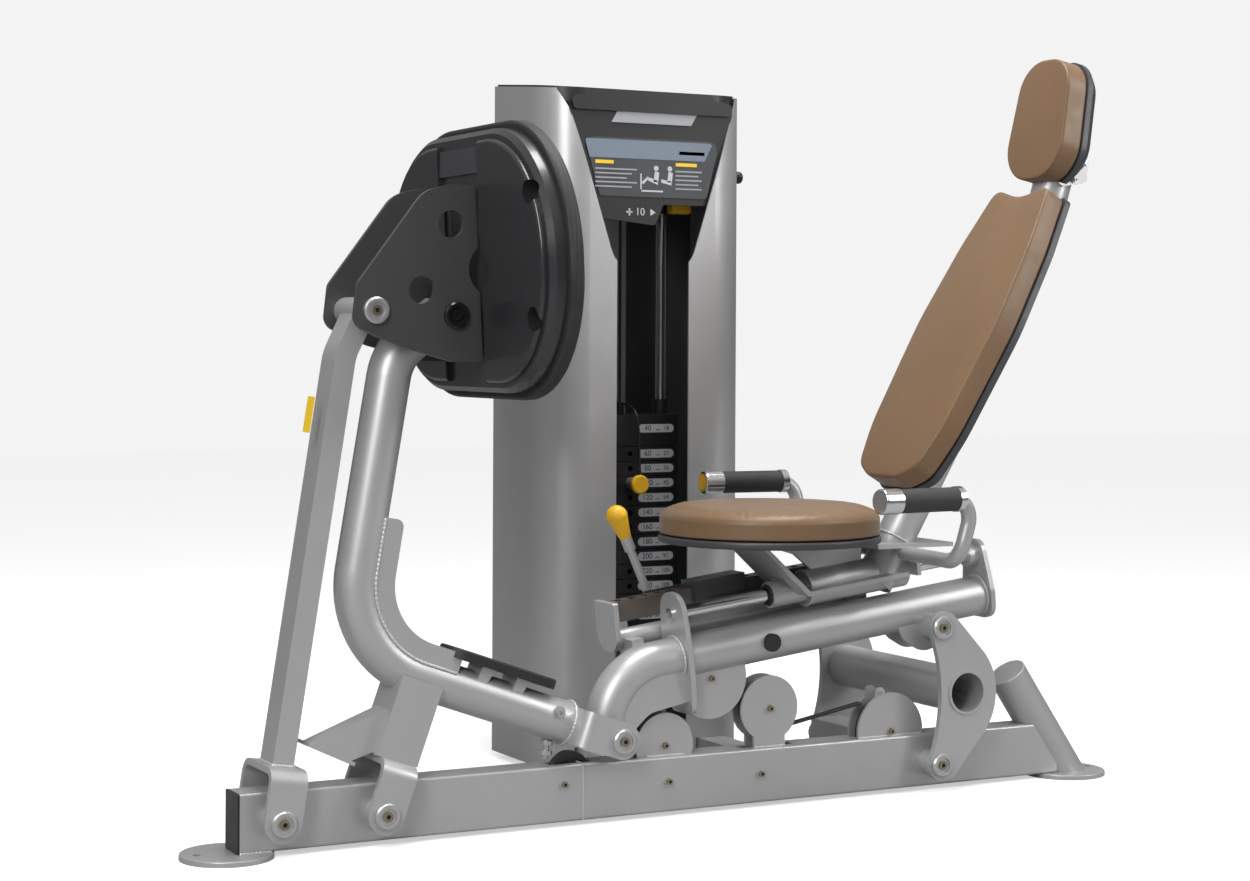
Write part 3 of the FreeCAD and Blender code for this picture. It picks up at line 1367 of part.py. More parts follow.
def main():
    os.makedirs("parts", exist_ok=True)
    # fixed base and tower
    save("base_rail", base_rail())
    save("rail_end_cap", rail_cap())
    save("rail_feet", [foot_disc(FRONT_FOOT, FRONT_FOOT_RADIUS, -52),
                       foot_disc(REAR_FOOT, REAR_FOOT_RADIUS, 62)])
    save("base_crossmembers", base_crossmembers())
    save("pulley_housings", pulley_housings())
    save("tower_frame", tower_frame())
    shroud = tower_shroud()
    save("tower_shroud_right", mirrored_tower(shroud))
    save("tower_shroud_left", shroud)
    save("tower_top_cap", top_cap())
    save("tower_fascia", fascia())
    save("instruction_panel", instruction_panel())
    save("tower_back_covers", back_covers())
    save("guide_rods", guide_rods())
    save("lower_weight_plates", lower_weight_plates())
    save("fixed_cables", fixed_cables())
    save("tower_wheel", tower_wheel())
    # lifted stack
    save("head_plate", head_plate())
    save("lifted_weight_plates", lifted_weight_plates())
    save("lift_cable", lift_cable())
    save("selector_pin", selector_pin())
    save("selector_disc", selector_disc())
    save("pin_lanyard", pin_lanyard())
    save("add_on_weight", add_on_weight())
    save("add_on_knob", add_on_knob())
    # press arm
    save("arm_tube", [arm_tube(), arm_top_sleeve()] + arm_gussets())
    save("arm_fittings", [arm_stub(), arm_base_yoke(), arm_rear_yoke()] + stop_bracket()
         + pad_brackets())
    save("arm_pad", arm_pad())
    save("arm_hardware", [through_pin(ARM_PIVOT, YOKE_HALF), through_pin(ARM_REAR_PIVOT, YOKE_HALF),
                          cable_adjuster()] + arm_side_bolt())
    # link
    save("link_bar", [link_bar(), link_yoke(), link_top_sleeve()])
    save("link_pin", through_pin(LINK_PIVOT, YOKE_HALF))
    # footplate
    save("footplate_bracket", footplate_bracket())
    save("footplate_shell", footplate_shell())
    save("footplate_rubber", footplate_rubber())
    save("footplate_pins", [through_pin(LINK_TOP_PIVOT, YOKE_HALF),
                            through_pin(ARM_TOP_PIVOT, YOKE_HALF)])
    # seat carriage
    save("carriage_tube", [carriage_tube(), carriage_front_sleeve()] + carriage_gussets())
    save("carriage_plates", rod_supports() + latch_rail_mount() + carriage_housing())
    save("seat_rod", seat_rod())
    save("latch_rail", slotted_rail())
    save("rocker_hanger", rocker_hanger())
    save("carriage_pins", carriage_pins() + [tube_plug()])
    # rocker
    save("rocker", [rocker_near(), rocker_plate(FAR_ROCKER_Y), rocker_tube()])
    save("rocker_pins", rocker_pins())
    # seat
    save("seat_frame", [seat_sleeve(), seat_post()] + seat_bracket() + seat_web() + head_bracket())
    save("seat_base", seat_base())
    save("seat_pad", seat_pad())
    save("back_shell", back_shell())
    save("back_pad", back_pad())
    save("head_shell", head_shell())
    save("head_pad", head_pad())
    save("handle_tubes", handle_tubes())
    save("hand_grips", grips())
    save("grip_collars", grip_collars())
    save("latch_box", latch_box())
    save("seat_lever", seat_lever())
    save("lever_bulb", lever_bulb())
    # pulley wheels
    save("front_wheel", wheel(PULLEY_FRONT))
    save("carriage_wheel", wheel(PULLEY_CARRIAGE))
    save("middle_wheel", wheel(PULLEY_MIDDLE))
    save("rear_wheel", wheel(PULLEY_REAR))
    save("rail_wheel", wheel(PULLEY_RAIL))


main()
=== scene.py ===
import json
import math

import bmesh
import bpy
from mathutils import Matrix, Vector
from mathutils.kdtree import KDTree


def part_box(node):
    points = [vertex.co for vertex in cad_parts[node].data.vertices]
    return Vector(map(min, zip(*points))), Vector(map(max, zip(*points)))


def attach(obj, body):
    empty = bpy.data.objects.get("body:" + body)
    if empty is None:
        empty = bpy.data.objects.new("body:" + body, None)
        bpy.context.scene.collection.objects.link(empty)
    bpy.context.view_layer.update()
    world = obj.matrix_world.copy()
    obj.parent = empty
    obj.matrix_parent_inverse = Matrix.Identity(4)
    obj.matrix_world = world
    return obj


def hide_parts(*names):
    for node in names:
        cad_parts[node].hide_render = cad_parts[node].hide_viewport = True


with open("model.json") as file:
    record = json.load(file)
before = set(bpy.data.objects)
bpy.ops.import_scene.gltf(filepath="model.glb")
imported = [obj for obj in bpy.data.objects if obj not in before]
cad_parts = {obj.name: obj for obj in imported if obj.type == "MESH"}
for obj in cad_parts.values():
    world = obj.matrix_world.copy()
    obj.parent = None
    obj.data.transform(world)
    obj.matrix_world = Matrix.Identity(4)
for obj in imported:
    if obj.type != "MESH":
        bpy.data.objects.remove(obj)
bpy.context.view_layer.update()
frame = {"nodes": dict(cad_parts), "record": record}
scene = bpy.context.scene
nodes = frame["nodes"]
record = frame["record"]
joints = {joint["name"]: joint for joint in record["behaviour"]["joints"]}
OFFSET = Vector((0.87525, 0.171, 0.0))     # from the machine's own zero to the row frame


def at(x, y, z):
    """A point given in millimetres from the rail's end, as metres in the row frame."""
    return Vector((x, y, z)) / 1000.0 - OFFSET


# places that the details are set out from
CARRIAGE_BEND = at(716, 0, 270)
SLOPE = Vector((0.99228, 0, 0.12403))      # along the seat rod, towards the rear
FOOTPLATE_LINK = at(223, 0, 926)
ROCKER_TOP = at(1402, 0, 323)


# ---------------------------------------------------------------- camera

camera_data = bpy.data.cameras.new("camera")
camera_data.lens = 68.13
camera_data.sensor_width = 36.0
camera_data.shift_y = -0.0785
camera_data.clip_end = 60.0
camera = bpy.data.objects.new("camera", camera_data)
scene.collection.objects.link(camera)
turn = (Matrix.Rotation(math.radians(-27.9), 4, "Z") @ Matrix.Rotation(math.radians(90), 4, "X")
        @ Matrix.Rotation(math.radians(0.28), 4, "Z"))
camera.matrix_world = Matrix.Translation((-2.165, -4.012, 0.8733)) @ turn
scene.camera = camera


# ---------------------------------------------------------------- materials

def nodes_of(name, rough, metallic):
    made = bpy.data.materials.new(name)
    made.use_nodes = True
    tree = made.node_tree
    shader = tree.nodes["Principled BSDF"]
    shader.inputs["Metallic"].default_value = metallic
    shader.inputs["Roughness"].default_value = rough
    place = tree.nodes.new("ShaderNodeTexCoord")
    return made, tree, shader, place


def noise(tree, place, scale, detail=3.0, rough=0.55):
    node = tree.nodes.new("ShaderNodeTexNoise")
    node.inputs["Scale"].default_value = scale
    node.inputs["Detail"].default_value = detail
    node.inputs["Roughness"].default_value = rough
    tree.links.new(place.outputs["Object"], node.inputs["Vector"])
    return node.outputs["Fac"]


def spread(tree, value, low, high):
    node = tree.nodes.new("ShaderNodeMapRange")
    node.inputs["From Min"].default_value = 0.3
    node.inputs["From Max"].default_value = 0.7
    node.inputs["To Min"].default_value = low
    node.inputs["To Max"].default_value = high
    tree.links.new(value, node.inputs["Value"])
    return node.outputs["Result"]


def tint(tree, value, dark, light):
    node = tree.nodes.new("ShaderNodeMix")
    node.data_type = "RGBA"
    node.inputs["A"].default_value = (*dark, 1.0)
    node.inputs["B"].default_value = (*light, 1.0)
    tree.links.new(value, node.inputs["Factor"])
    return node.outputs["Result"]


def bumped(tree, shader, height, strength, distance):
    node = tree.nodes.new("ShaderNodeBump")
    node.inputs["Strength"].default_value = strength
    node.inputs["Distance"].default_value = distance
    tree.links.new(height, node.inputs["Height"])
    tree.links.new(node.outputs["Normal"], shader.inputs["Normal"])


def surface(name, colour, rough, metallic=0.0, contrast=0.12, patch=9.0, grain=900.0,
            grain_depth=0.0001, strength=0.25, rough_swing=0.05, coat=0.0):
    """A procedural finish: mottled colour, uneven sheen and a fine grain."""
    made, tree, shader, place = nodes_of(name, rough, metallic)
    dark = [c * (1 - contrast) for c in colour]
    light = [min(1.0, c * (1 + contrast)) for c in colour]
    mottled = tint(tree, noise(tree, place, patch, 5.0), dark, light)
    tree.links.new(mottled, shader.inputs["Base Color"])
    uneven = spread(tree, noise(tree, place, patch * 3, 4.0),
                    rough - rough_swing, rough + rough_swing)
    tree.links.new(uneven, shader.inputs["Roughness"])
    bumped(tree, shader, noise(tree, place, grain, 2.0), strength, grain_depth)
    if coat:
        shader.inputs["Coat Weight"].default_value = coat
        shader.inputs["Coat Roughness"].default_value = 0.12
    return made


def leather(name, colour):
    """Upholstery with a pebbled grain; the seam attribute darkens the stitched line with painted
    shade, as if in its groove.
    """
    made, tree, shader, place = nodes_of(name, 0.42, 0.0)
    dark = [c * 0.86 for c in colour]
    light = [c * 1.1 for c in colour]
    mottled = tint(tree, noise(tree, place, 7.0, 4.0), dark, light)
    # painted shade: along the seam the leather is mixed towards a darker copy of itself
    seam = tree.nodes.new("ShaderNodeAttribute")
    seam.attribute_name = "seam"
    shaded = tree.nodes.new("ShaderNodeMix")
    shaded.data_type = "RGBA"
    tree.links.new(seam.outputs["Fac"], shaded.inputs["Factor"])
    tree.links.new(mottled, shaded.inputs["A"])
    shaded.inputs["B"].default_value = (*[c * 0.42 for c in colour], 1.0)
    tree.links.new(shaded.outputs["Result"], shader.inputs["Base Color"])
    uneven = spread(tree, noise(tree, place, 30.0), 0.36, 0.48)
    tree.links.new(uneven, shader.inputs["Roughness"])
    pebble = tree.nodes.new("ShaderNodeTexVoronoi")
    pebble.inputs["Scale"].default_value = 620.0
    tree.links.new(place.outputs["Object"], pebble.inputs["Vector"])
    bumped(tree, shader, pebble.outputs["Distance"], 0.22, 0.00035)
    shader.inputs["Sheen Weight"].default_value = 0.12
    shader.inputs["Sheen Roughness"].default_value = 0.4
    return made


def ribbed(name, colour, scale, rough=0.6, depth=0.0012, wobble=3.0):
    """Moulded rubber with a raised wavy pattern."""
    made, tree, shader, place = nodes_of(name, rough, 0.0)
    mottled = tint(tree, noise(tree, place, 40.0),
                   [c * 0.8 for c in colour], [c * 1.25 for c in colour])
    tree.links.new(mottled, shader.inputs["Base Color"])
    wave = tree.nodes.new("ShaderNodeTexWave")
    wave.inputs["Scale"].default_value = scale
    wave.inputs["Distortion"].default_value = wobble
    wave.inputs["Detail"].default_value = 1.0
    tree.links.new(place.outputs["Object"], wave.inputs["Vector"])
    bumped(tree, shader, wave.outputs["Fac"], 0.5, depth)
    return made


def brushed(name, colour, rough, metallic=1.0):
    """Metal with a fine drawn grain."""
    made, tree, shader, place = nodes_of(name, rough, metallic)
    mapping = tree.nodes.new("ShaderNodeMapping")
    mapping.inputs["Scale"].default_value = (20.0, 300.0, 300.0)
    tree.links.new(place.outputs["Object"], mapping.inputs["Vector"])
    grain = tree.nodes.new("ShaderNodeTexNoise")
    grain.inputs["Scale"].default_value = 4.0
    grain.inputs["Detail"].default_value = 4.0
    tree.links.new(mapping.outputs["Vector"], grain.inputs["Vector"])
    mottled = tint(tree, grain.outputs["Fac"],
                   [c * 0.84 for c in colour], [min(1, c * 1.1) for c in colour])
    tree.links.new(mottled, shader.inputs["Base Color"])
    tree.links.new(spread(tree, grain.outputs["Fac"], rough - 0.05, rough + 0.06),
                   shader.inputs["Roughness"])
    bumped(tree, shader, grain.outputs["Fac"], 0.08, 0.0001)
    return made


SILVER = (0.5, 0.5, 0.505)
finish = {
    "silver_paint": surface("silver_paint", SILVER,
                            0.4, 0.55, 0.05, 5.0, 1500.0, 0.00006, 0.3, 0.04),
    "dark_paint": surface("dark_paint", (0.085, 0.085, 0.088),
                          0.38, 0.45, 0.08, 5.0, 1300.0, 0.00006),
    "black_plastic": surface("black_plastic", (0.018, 0.018, 0.019), 0.42, 0.0, 0.2, 8.0, 900.0),
    "panel_print": surface("panel_print", (0.055, 0.058, 0.064),
                           0.35, 0.0, 0.1, 6.0, 700.0, 0.00003),
    "bright_chrome": brushed("bright_chrome", (0.78, 0.78, 0.79), 0.14),
    "pin_steel": surface("pin_steel", (0.55, 0.55, 0.55), 0.34, 0.75, 0.08, 20.0, 1200.0, 0.00005),
    "rail_steel": brushed("rail_steel", (0.22, 0.19, 0.165), 0.36, 0.8),
    "black_iron": surface("black_iron", (0.012, 0.012, 0.013),
                          0.45, 0.0, 0.25, 14.0, 500.0, 0.0002),
    "cable_black": surface("cable_black", (0.012, 0.012, 0.012),
                           0.4, 0.0, 0.2, 60.0, 1500.0, 0.0001),
    "yellow_plastic": surface("yellow_plastic", (0.82, 0.46, 0.012),
                              0.4, 0.0, 0.06, 12.0, 420.0, 0.0008, 0.5),
    "black_rubber": surface("black_rubber", (0.016, 0.016, 0.017),
                            0.55, 0.0, 0.2, 15.0, 700.0, 0.0002),
    "shell_plastic": surface("shell_plastic", (0.05, 0.051, 0.055),
                             0.42, 0.0, 0.1, 6.0, 900.0, 0.0001),
    "brown_leather": leather("brown_leather", (0.2, 0.117, 0.058)),
}
grip_rubber = ribbed("grip_rubber", (0.035, 0.035, 0.037), 90.0)
tread_rubber = ribbed("tread_rubber", (0.02, 0.02, 0.021), 45.0, 0.6, 0.0015, 0.6)
back_plastic = surface("footplate_back", (0.024, 0.024, 0.026),
                       0.3, 0.0, 0.12, 5.0, 800.0, 0.0001, coat=0.3)
screw_steel = surface("screw_steel", (0.35, 0.29, 0.2), 0.3, 0.9, 0.15, 60.0, 900.0, 0.0001)
dark_chrome = surface("dark_chrome", (0.03, 0.03, 0.032), 0.22, 0.7, 0.2, 30.0, 900.0, 0.00005)
# painted shade: a near-black disc stands in for the shade inside a screw's socket recess
socket_shade_paint = surface("dark_socket", (0.01, 0.01, 0.01), 0.6, 0.0, 0.3, 60.0)
label_paint = surface("label_print", (0.5, 0.51, 0.53), 0.45, 0.0, 0.05, 40.0, 900.0, 0.00003)
ink = surface("label_ink", (0.02, 0.02, 0.022), 0.5, 0.0, 0.2, 60.0, 900.0, 0.00003)
header_print = surface("header_print", (0.17, 0.21, 0.26), 0.4, 0.0, 0.08, 30.0, 900.0, 0.00003)
grey_print = surface("grey_print", (0.33, 0.34, 0.36), 0.4, 0.0, 0.08, 30.0, 900.0, 0.00003)
yellow_print = surface("yellow_print", (0.85, 0.56, 0.02), 0.45, 0.0, 0.06, 40.0, 900.0, 0.00003)
weld_metal = surface("weld_metal", (0.6, 0.6, 0.605), 0.4, 0.5, 0.14, 150.0, 700.0, 0.0003, 0.5)

own = {"hand_grips": grip_rubber, "footplate_rubber": tread_rubber, "footplate_shell": back_plastic}
for part in record["subparts"]:
    name = part["node"]
    made = own.get(name, finish[part["material_slot"]])
    nodes[name].data.materials.clear()
    nodes[name].data.materials.append(made)


def paint_round(name, centre, radius, made):
    """Give another finish to the faces of a node within a radius of an axis along Y."""
    mesh = nodes[name].data
    if made.name not in [m.name for m in mesh.materials]:
        mesh.materials.append(made)
    index = [m.name for m in mesh.materials].index(made.name)
    for face in mesh.polygons:
        away = math.hypot(face.center.x - centre[0], face.center.z - centre[2])
        if away < radius:
            face.material_index = index


# ---------------------------------------------------------------- builders

def piece(name, bm, made, body, smooth=False):
    mesh = bpy.data.meshes.new(name)
    bm.normal_update()
    bm.to_mesh(mesh)
    bm.free()
    mesh.materials.append(made)
    if smooth:
        for face in mesh.polygons:
            face.use_smooth = True
    obj = bpy.data.objects.new(name, mesh)
    scene.collection.objects.link(obj)
    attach(obj, body)
    return obj


def facing(origin, across_axis, up_axis):
    """A frame whose third axis points out of the surface."""
    u, v = Vector(across_axis).normalized(), Vector(up_axis).normalized()
    n = u.cross(v)
    return Matrix(((u.x, v.x, n.x, origin.x), (u.y, v.y, n.y, origin.y),
                   (u.z, v.z, n.z, origin.z), (0, 0, 0, 1)))


def slab(bm, place, outline, thick):
    """A thin flat shape with an edge, standing on a surface."""
    low = [bm.verts.new(place @ Vector((u, v, 0))) for u, v in outline]
    top = [bm.verts.new(place @ Vector((u, v, thick))) for u, v in outline]
    bm.faces.new(top)
    bm.faces.new(low[::-1])
    for i in range(len(outline)):
        j = (i + 1) % len(outline)
        bm.faces.new((low[i], low[j], top[j], top[i]))


def rounded(width, height, radius, steps=6):
    """Outline of a rectangle with round corners about its middle."""
    points = []
    for cu, cv, start in ((1, 1, 0), (-1, 1, 90), (-1, -1, 180), (1, -1, 270)):
        for i in range(steps + 1):
            angle = math.radians(start + 90 * i / steps)
            points.append((cu * (width / 2 - radius) + radius * math.cos(angle),
                           cv * (height / 2 - radius) + radius * math.sin(angle)))
    return points


def made_mesh(obj):
    """The mesh that an object has once its modifiers or its text are worked out."""
    bpy.context.view_layer.update()
    graph = bpy.context.evaluated_depsgraph_get()
    return bpy.data.meshes.new_from_object(obj.evaluated_get(graph))


def letters(bm, text, place, size, lift):
    """Raised characters centred on a frame."""
    curve = bpy.data.curves.new("characters", "FONT")
    curve.body = text
    curve.size = size
    curve.align_x = "CENTER"
    curve.align_y = "CENTER"
    curve.extrude = lift
    holder = bpy.data.objects.new("characters", curve)
    scene.collection.objects.link(holder)
    mesh = made_mesh(holder)
    mesh.transform(place)
    bm.from_mesh(mesh)
    bpy.data.objects.remove(holder)
    bpy.data.meshes.remove(mesh)


def bead(bm, points, radius, closed=False, sides=8):
    """A weld bead: a rippled round bar along a path."""
    run = [Vector(p) for p in points]
    if closed:
        run.append(run[0])
    path = []
    step = radius * 0.7
    for a, b in zip(run, run[1:]):
        count = max(1, round((b - a).length / step))
        path += [a.lerp(b, i / count) for i in range(count)]
    if not closed:
        path.append(run[-1])
    rings = []
    count = len(path)
    for i, point in enumerate(path):
        if closed:
            along = path[(i + 1) % count] - path[i - 1]
        else:
            along = path[min(i + 1, count - 1)] - path[max(i - 1, 0)]
        along.normalize()
        side = along.cross(Vector((0.13, 0.21, 0.97))).normalized()
        up = side.cross(along)
        swell = radius * (1.0 + 0.16 * math.sin(i * 1.55) + 0.05 * math.sin(i * 0.37))
        ring = []
        for k in range(sides):
            angle = 2 * math.pi * k / sides
            outward = side * math.cos(angle) + up * math.sin(angle)
            ring.append(bm.verts.new(point + outward * swell))
        rings.append(ring)
    for i in range(count if closed else count - 1):
        a, b = rings[i], rings[(i + 1) % count]
        for k in range(sides):
            j = (k + 1) % sides
            bm.faces.new((a[k], a[j], b[j], b[k]))
    if not closed:
        bm.faces.new(rings[0][::-1])
        bm.faces.new(rings[-1])


def circle(centre, axis, radius, start=0.0, end=360.0, steps=48):
    """Points round an axis."""
    along = Vector(axis).normalized()
    side = along.cross(Vector((0.0, 1.0, 0.0)))
    if side.length < 0.1:
        side = along.cross(Vector((1.0, 0.0, 0.0)))
    side.normalize()
    up = side.cross(along)
    full = abs(end - start) >= 360
    count = steps if full else steps + 1
    points = []
    for i in range(count):
        angle = math.radians(start + (end - start) * i / steps)
        points.append(Vector(centre) + (side * math.cos(angle) + up * math.sin(angle)) * radius)
    return points


def bend(before, corner, after, radius, inward, steps=24):
    """A tube's path round one corner, moved towards the inside of the bend."""
    a = (before - corner).normalized()
    b = (after - corner).normalized()
    half = a.angle(b) / 2
    cut = radius / math.tan(half)
    middle = corner + (a + b).normalized() * (radius / math.sin(half))
    first, last = corner + a * cut, corner + b * cut
    from_middle, to_middle = (first - middle).normalized(), (last - middle).normalized()
    normal_a, normal_b = -from_middle, -to_middle
    reach = radius - inward
    whole = from_middle.angle(to_middle)
    axis = from_middle.cross(to_middle).normalized()
    arc = [middle + (Matrix.Rotation(whole * i / steps, 3, axis) @ from_middle) * reach
           for i in range(steps + 1)]
    return normal_a, arc, normal_b


# ---------------------------------------------------------------- lanyard

LANYARD = [at(1041, 562, 743), at(1039, 510, 741), at(1044, 500, 684), at(1040, 494, 634),
           at(1038, 485, 599)]
lanyard_curve = bpy.data.curves.new("lanyard", "CURVE")
lanyard_curve.dimensions = "3D"
lanyard_curve.bevel_depth = 0.0025
lanyard_curve.bevel_resolution = 4
lanyard_curve.resolution_u = 16
lanyard_curve.use_fill_caps = True
line = lanyard_curve.splines.new("NURBS")
line.points.add(len(LANYARD) - 1)
for point, place in zip(line.points, LANYARD):
    point.co = (*place, 1.0)
line.order_u = 3
line.use_endpoint_u = True
lanyard_curve.materials.append(finish["cable_black"])
lanyard = bpy.data.objects.new("selector_lanyard", lanyard_curve)
scene.collection.objects.link(lanyard)
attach(lanyard, "stack")
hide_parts("pin_lanyard")


# ---------------------------------------------------------------- cushions

PAD_GRID = 36                              # steps from the middle of a pad to its seam
SEAT_SHOULDER = 0.0135                     # height of the seat's rounded shoulder
SIDE_STEP = 0.005                          # height of one row round a pad's side
SWELL_FRAMES = 14                          # how long the stuffing is left to press outwards
SEAM_WIDTH = 0.0022
SEAM_SHADE = 0.55
SAME_POINT = 0.00005                       # vertices nearer than this are one point
SHARP = 0.7                                # radians between faces at a sewn edge


def crease(node, normal):
    """The sharp front edge of a plain pad in order, where its cover is sewn."""
    bm = bmesh.new()
    bm.from_mesh(nodes[node].data)
    bmesh.ops.remove_doubles(bm, verts=bm.verts, dist=SAME_POINT)
    bm.normal_update()
    out = Vector(normal).normalized()
    front = max(vertex.co.dot(out) for vertex in bm.verts)
    beside = {}
    for edge in bm.edges:
        a, b = edge.verts
        level = min(a.co.dot(out), b.co.dot(out)) > front - 0.0005
        if level and len(edge.link_faces) == 2 and edge.calc_face_angle(0.0) > SHARP:
            beside.setdefault(a.index, []).append(b.index)
            beside.setdefault(b.index, []).append(a.index)
    bm.verts.ensure_lookup_table()
    longest = []
    left = set(beside)
    while left:
        here = min(left)
        walk = []
        while here is not None:
            left.discard(here)
            walk.append(bm.verts[here].co.copy())
            here = next((other for other in beside[here] if other in left), None)
        if len(walk) > len(longest):
            longest = walk
    bm.free()
    return longest


def evenly(loop, count):
    """A closed line divided into equal steps."""
    corners = loop + [loop[0]]
    reach = [0.0]
    for a, b in zip(corners, corners[1:]):
        reach.append(reach[-1] + (b - a).length)
    points = []
    k = 0
    for i in range(count):
        want = reach[-1] * i / count
        while reach[k + 1] < want:
            k += 1
        share = (want - reach[k]) / max(reach[k + 1] - reach[k], 1e-9)
        points.append(corners[k].lerp(corners[k + 1], share))
    return points


def eased(loop, rounds):
    """A closed line with its small facets rounded off."""
    for _ in range(rounds):
        count = len(loop)
        loop = [loop[i] * 0.5 + (loop[i - 1] + loop[(i + 1) % count]) * 0.25 for i in range(count)]
    return loop


def seat_seam():
    """The seam round the side of the seat, below its rounded shoulder."""
    low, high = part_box("seat_pad")
    middle = (low + high) / 2
    radius = (high.x - low.x) / 2
    return [Vector((middle.x + radius * math.cos(math.radians(a)),
                    middle.y + radius * math.sin(math.radians(a)), high.z - SEAT_SHOULDER))
            for a in range(360)]


def tree_of(points):
    near = KDTree(len(points))
    for i, point in enumerate(points):
        near.insert(point, i)
    near.balance()
    return near


def round_ring(i, j, ring):
    """How far round its ring a grid point lies, from 0 to 1."""
    if ring == 0:
        return 0.0
    if i == ring and j < ring:
        step = j + ring
    elif j == ring and i > -ring:
        step = 3 * ring - i
    elif i == -ring and j > -ring:
        step = 5 * ring - j
    else:
        step = 7 * ring + i
    return step / (8 * ring)


def pad_start(node, seam, normal, shoulder):
    """The cover of a pad cut to its outline: front, sides and back, held at the seam and back."""
    out = Vector(normal).normalized()
    depth = [vertex.co.dot(out) for vertex in nodes[node].data.vertices]
    thick = seam[0].dot(out) - min(depth)
    middle = sum(seam, Vector()) / len(seam)
    count = len(seam)
    bm = bmesh.new()
    grid = {}
    for i in range(-PAD_GRID, PAD_GRID + 1):
        for j in range(-PAD_GRID, PAD_GRID + 1):
            ring = max(abs(i), abs(j))
            place = round_ring(i, j, ring) * count
            k = int(place) % count
            edge = seam[k].lerp(seam[(k + 1) % count], place - int(place))
            spot = middle.lerp(edge, ring / PAD_GRID)
            if shoulder:
                inward = min((edge - middle).length * (1 - ring / PAD_GRID) / shoulder, 1.0)
                spot += out * (shoulder * math.sqrt(max(0.0, 1 - (1 - inward) ** 2)))
            grid[i, j] = bm.verts.new(spot)
    for i in range(-PAD_GRID, PAD_GRID):
        for j in range(-PAD_GRID, PAD_GRID):
            bm.faces.new((grid[i, j], grid[i + 1, j], grid[i + 1, j + 1], grid[i, j + 1]))
    edge_ring = [None] * count
    for (i, j), vertex in grid.items():
        if max(abs(i), abs(j)) == PAD_GRID:
            edge_ring[round(round_ring(i, j, PAD_GRID) * count) % count] = vertex
    held = list(edge_ring)
    above = edge_ring
    levels = max(3, round(thick / SIDE_STEP))
    for level in range(1, levels + 1):
        below = [bm.verts.new(point - out * (thick * level / levels)) for point in seam]
        for k in range(count):
            m = (k + 1) % count
            bm.faces.new((above[k], above[m], below[m], below[k]))
        above = below
        if level >= levels - 1:
            held += below
    tip = bm.verts.new(middle - out * thick)
    held.append(tip)
    for k in range(count):
        bm.faces.new((above[k], above[(k + 1) % count], tip))
    bmesh.ops.recalc_face_normals(bm, faces=bm.faces)
    bm.verts.index_update()
    pins = [vertex.index for vertex in held]
    mesh = bpy.data.meshes.new("cushion_" + node)
    bm.to_mesh(mesh)
    bm.free()
    obj = bpy.data.objects.new("cushion_" + node, mesh)
    scene.collection.objects.link(obj)
    group = obj.vertex_groups.new(name="held")
    group.add(pins, 1.0, "REPLACE")
    return obj


CUSHIONS = {
    "seat_pad": {"normal": (0, 0, 1), "shoulder": SEAT_SHOULDER, "cap": 0.008, "groove": 0.0014},
    "back_pad": {"normal": (-0.861, 0, 0.509), "shoulder": 0.0, "cap": 0.012, "groove": 0.0013},
    "head_pad": {"normal": (-0.982, 0, 0.191), "shoulder": 0.0, "cap": 0.010, "groove": 0.0011},
}

cushions = {}
for node, how in CUSHIONS.items():
    line = seat_seam() if node == "seat_pad" else crease(node, how["normal"])
    seam = eased(evenly(line, 8 * PAD_GRID), 3)
    made = pad_start(node, seam, how["normal"], how["shoulder"])
    near = tree_of(evenly(seam, 1500))
    cushions[node] = (made, near, [vertex.co.copy() for vertex in made.data.vertices])

for made, _, _ in cushions.values():
    cloth = made.modifiers.new("stuffing", "CLOTH")
    cloth.settings.quality = 4
    cloth.settings.use_pressure = True
    cloth.settings.uniform_pressure_force = 4.0
    cloth.settings.effector_weights.gravity = 0.0
    cloth.settings.vertex_group_mass = "held"
    cloth.settings.bending_stiffness = 4.0
    cloth.collision_settings.use_collision = False
for number in range(1, SWELL_FRAMES + 1):
    scene.frame_set(number)
for made, _, rest in cushions.values():
    graph = bpy.context.evaluated_depsgraph_get()
    swollen = bpy.data.meshes.new_from_object(made.evaluated_get(graph))
    made.modifiers.clear()
    cap = CUSHIONS[made.name[len("cushion_"):]]["cap"]
    for vertex, start in zip(swollen.vertices, rest):
        move = vertex.co - start
        length = move.length
        if length > 1e-7:
            vertex.co = start + move * (cap * math.tanh(length / cap) / length)
    made.data = swollen
scene.frame_set(1)

for node, (made, near, _) in cushions.items():
    how = CUSHIONS[node]
    finer = made.modifiers.new("finer", "SUBSURF")
    finer.levels = 1
    finer.render_levels = 1
    fine = made_mesh(made)
    made.modifiers.clear()
    made.data = fine
    # the seam attribute is painted shade, strongest on the seam line and fading over SEAM_WIDTH
    marks = fine.attributes.new("seam", "FLOAT", "POINT")
    shifts = []
    for vertex in fine.vertices:
        _, _, away = near.find(vertex.co)
        depth = math.exp(-(away / SEAM_WIDTH) ** 2)
        marks.data[vertex.index].value = depth * SEAM_SHADE
        shifts.append(vertex.normal * (-how["groove"] * depth))
    for vertex, shift in zip(fine.vertices, shifts):
        vertex.co += shift
    for face in fine.polygons:
        face.use_smooth = True
    fine.materials.clear()
    fine.materials.append(finish["brown_leather"])
    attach(made, "seat")
    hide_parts(node)


# ---------------------------------------------------------------- tower print

FRONT = (1, 0, 0), (0, 0, 1)               # the side that faces the near side of the machine
stack_low, stack_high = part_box("lower_weight_plates")
lifted_low, lifted_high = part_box("lifted_weight_plates")
PLATE_GAP = 0.0012                         # between neighbouring weight plates
pitch = (lifted_high.z - lifted_low.z + PLATE_GAP) / 3
face_y = stack_low.y
label_x = at(1098, 0, 0).x


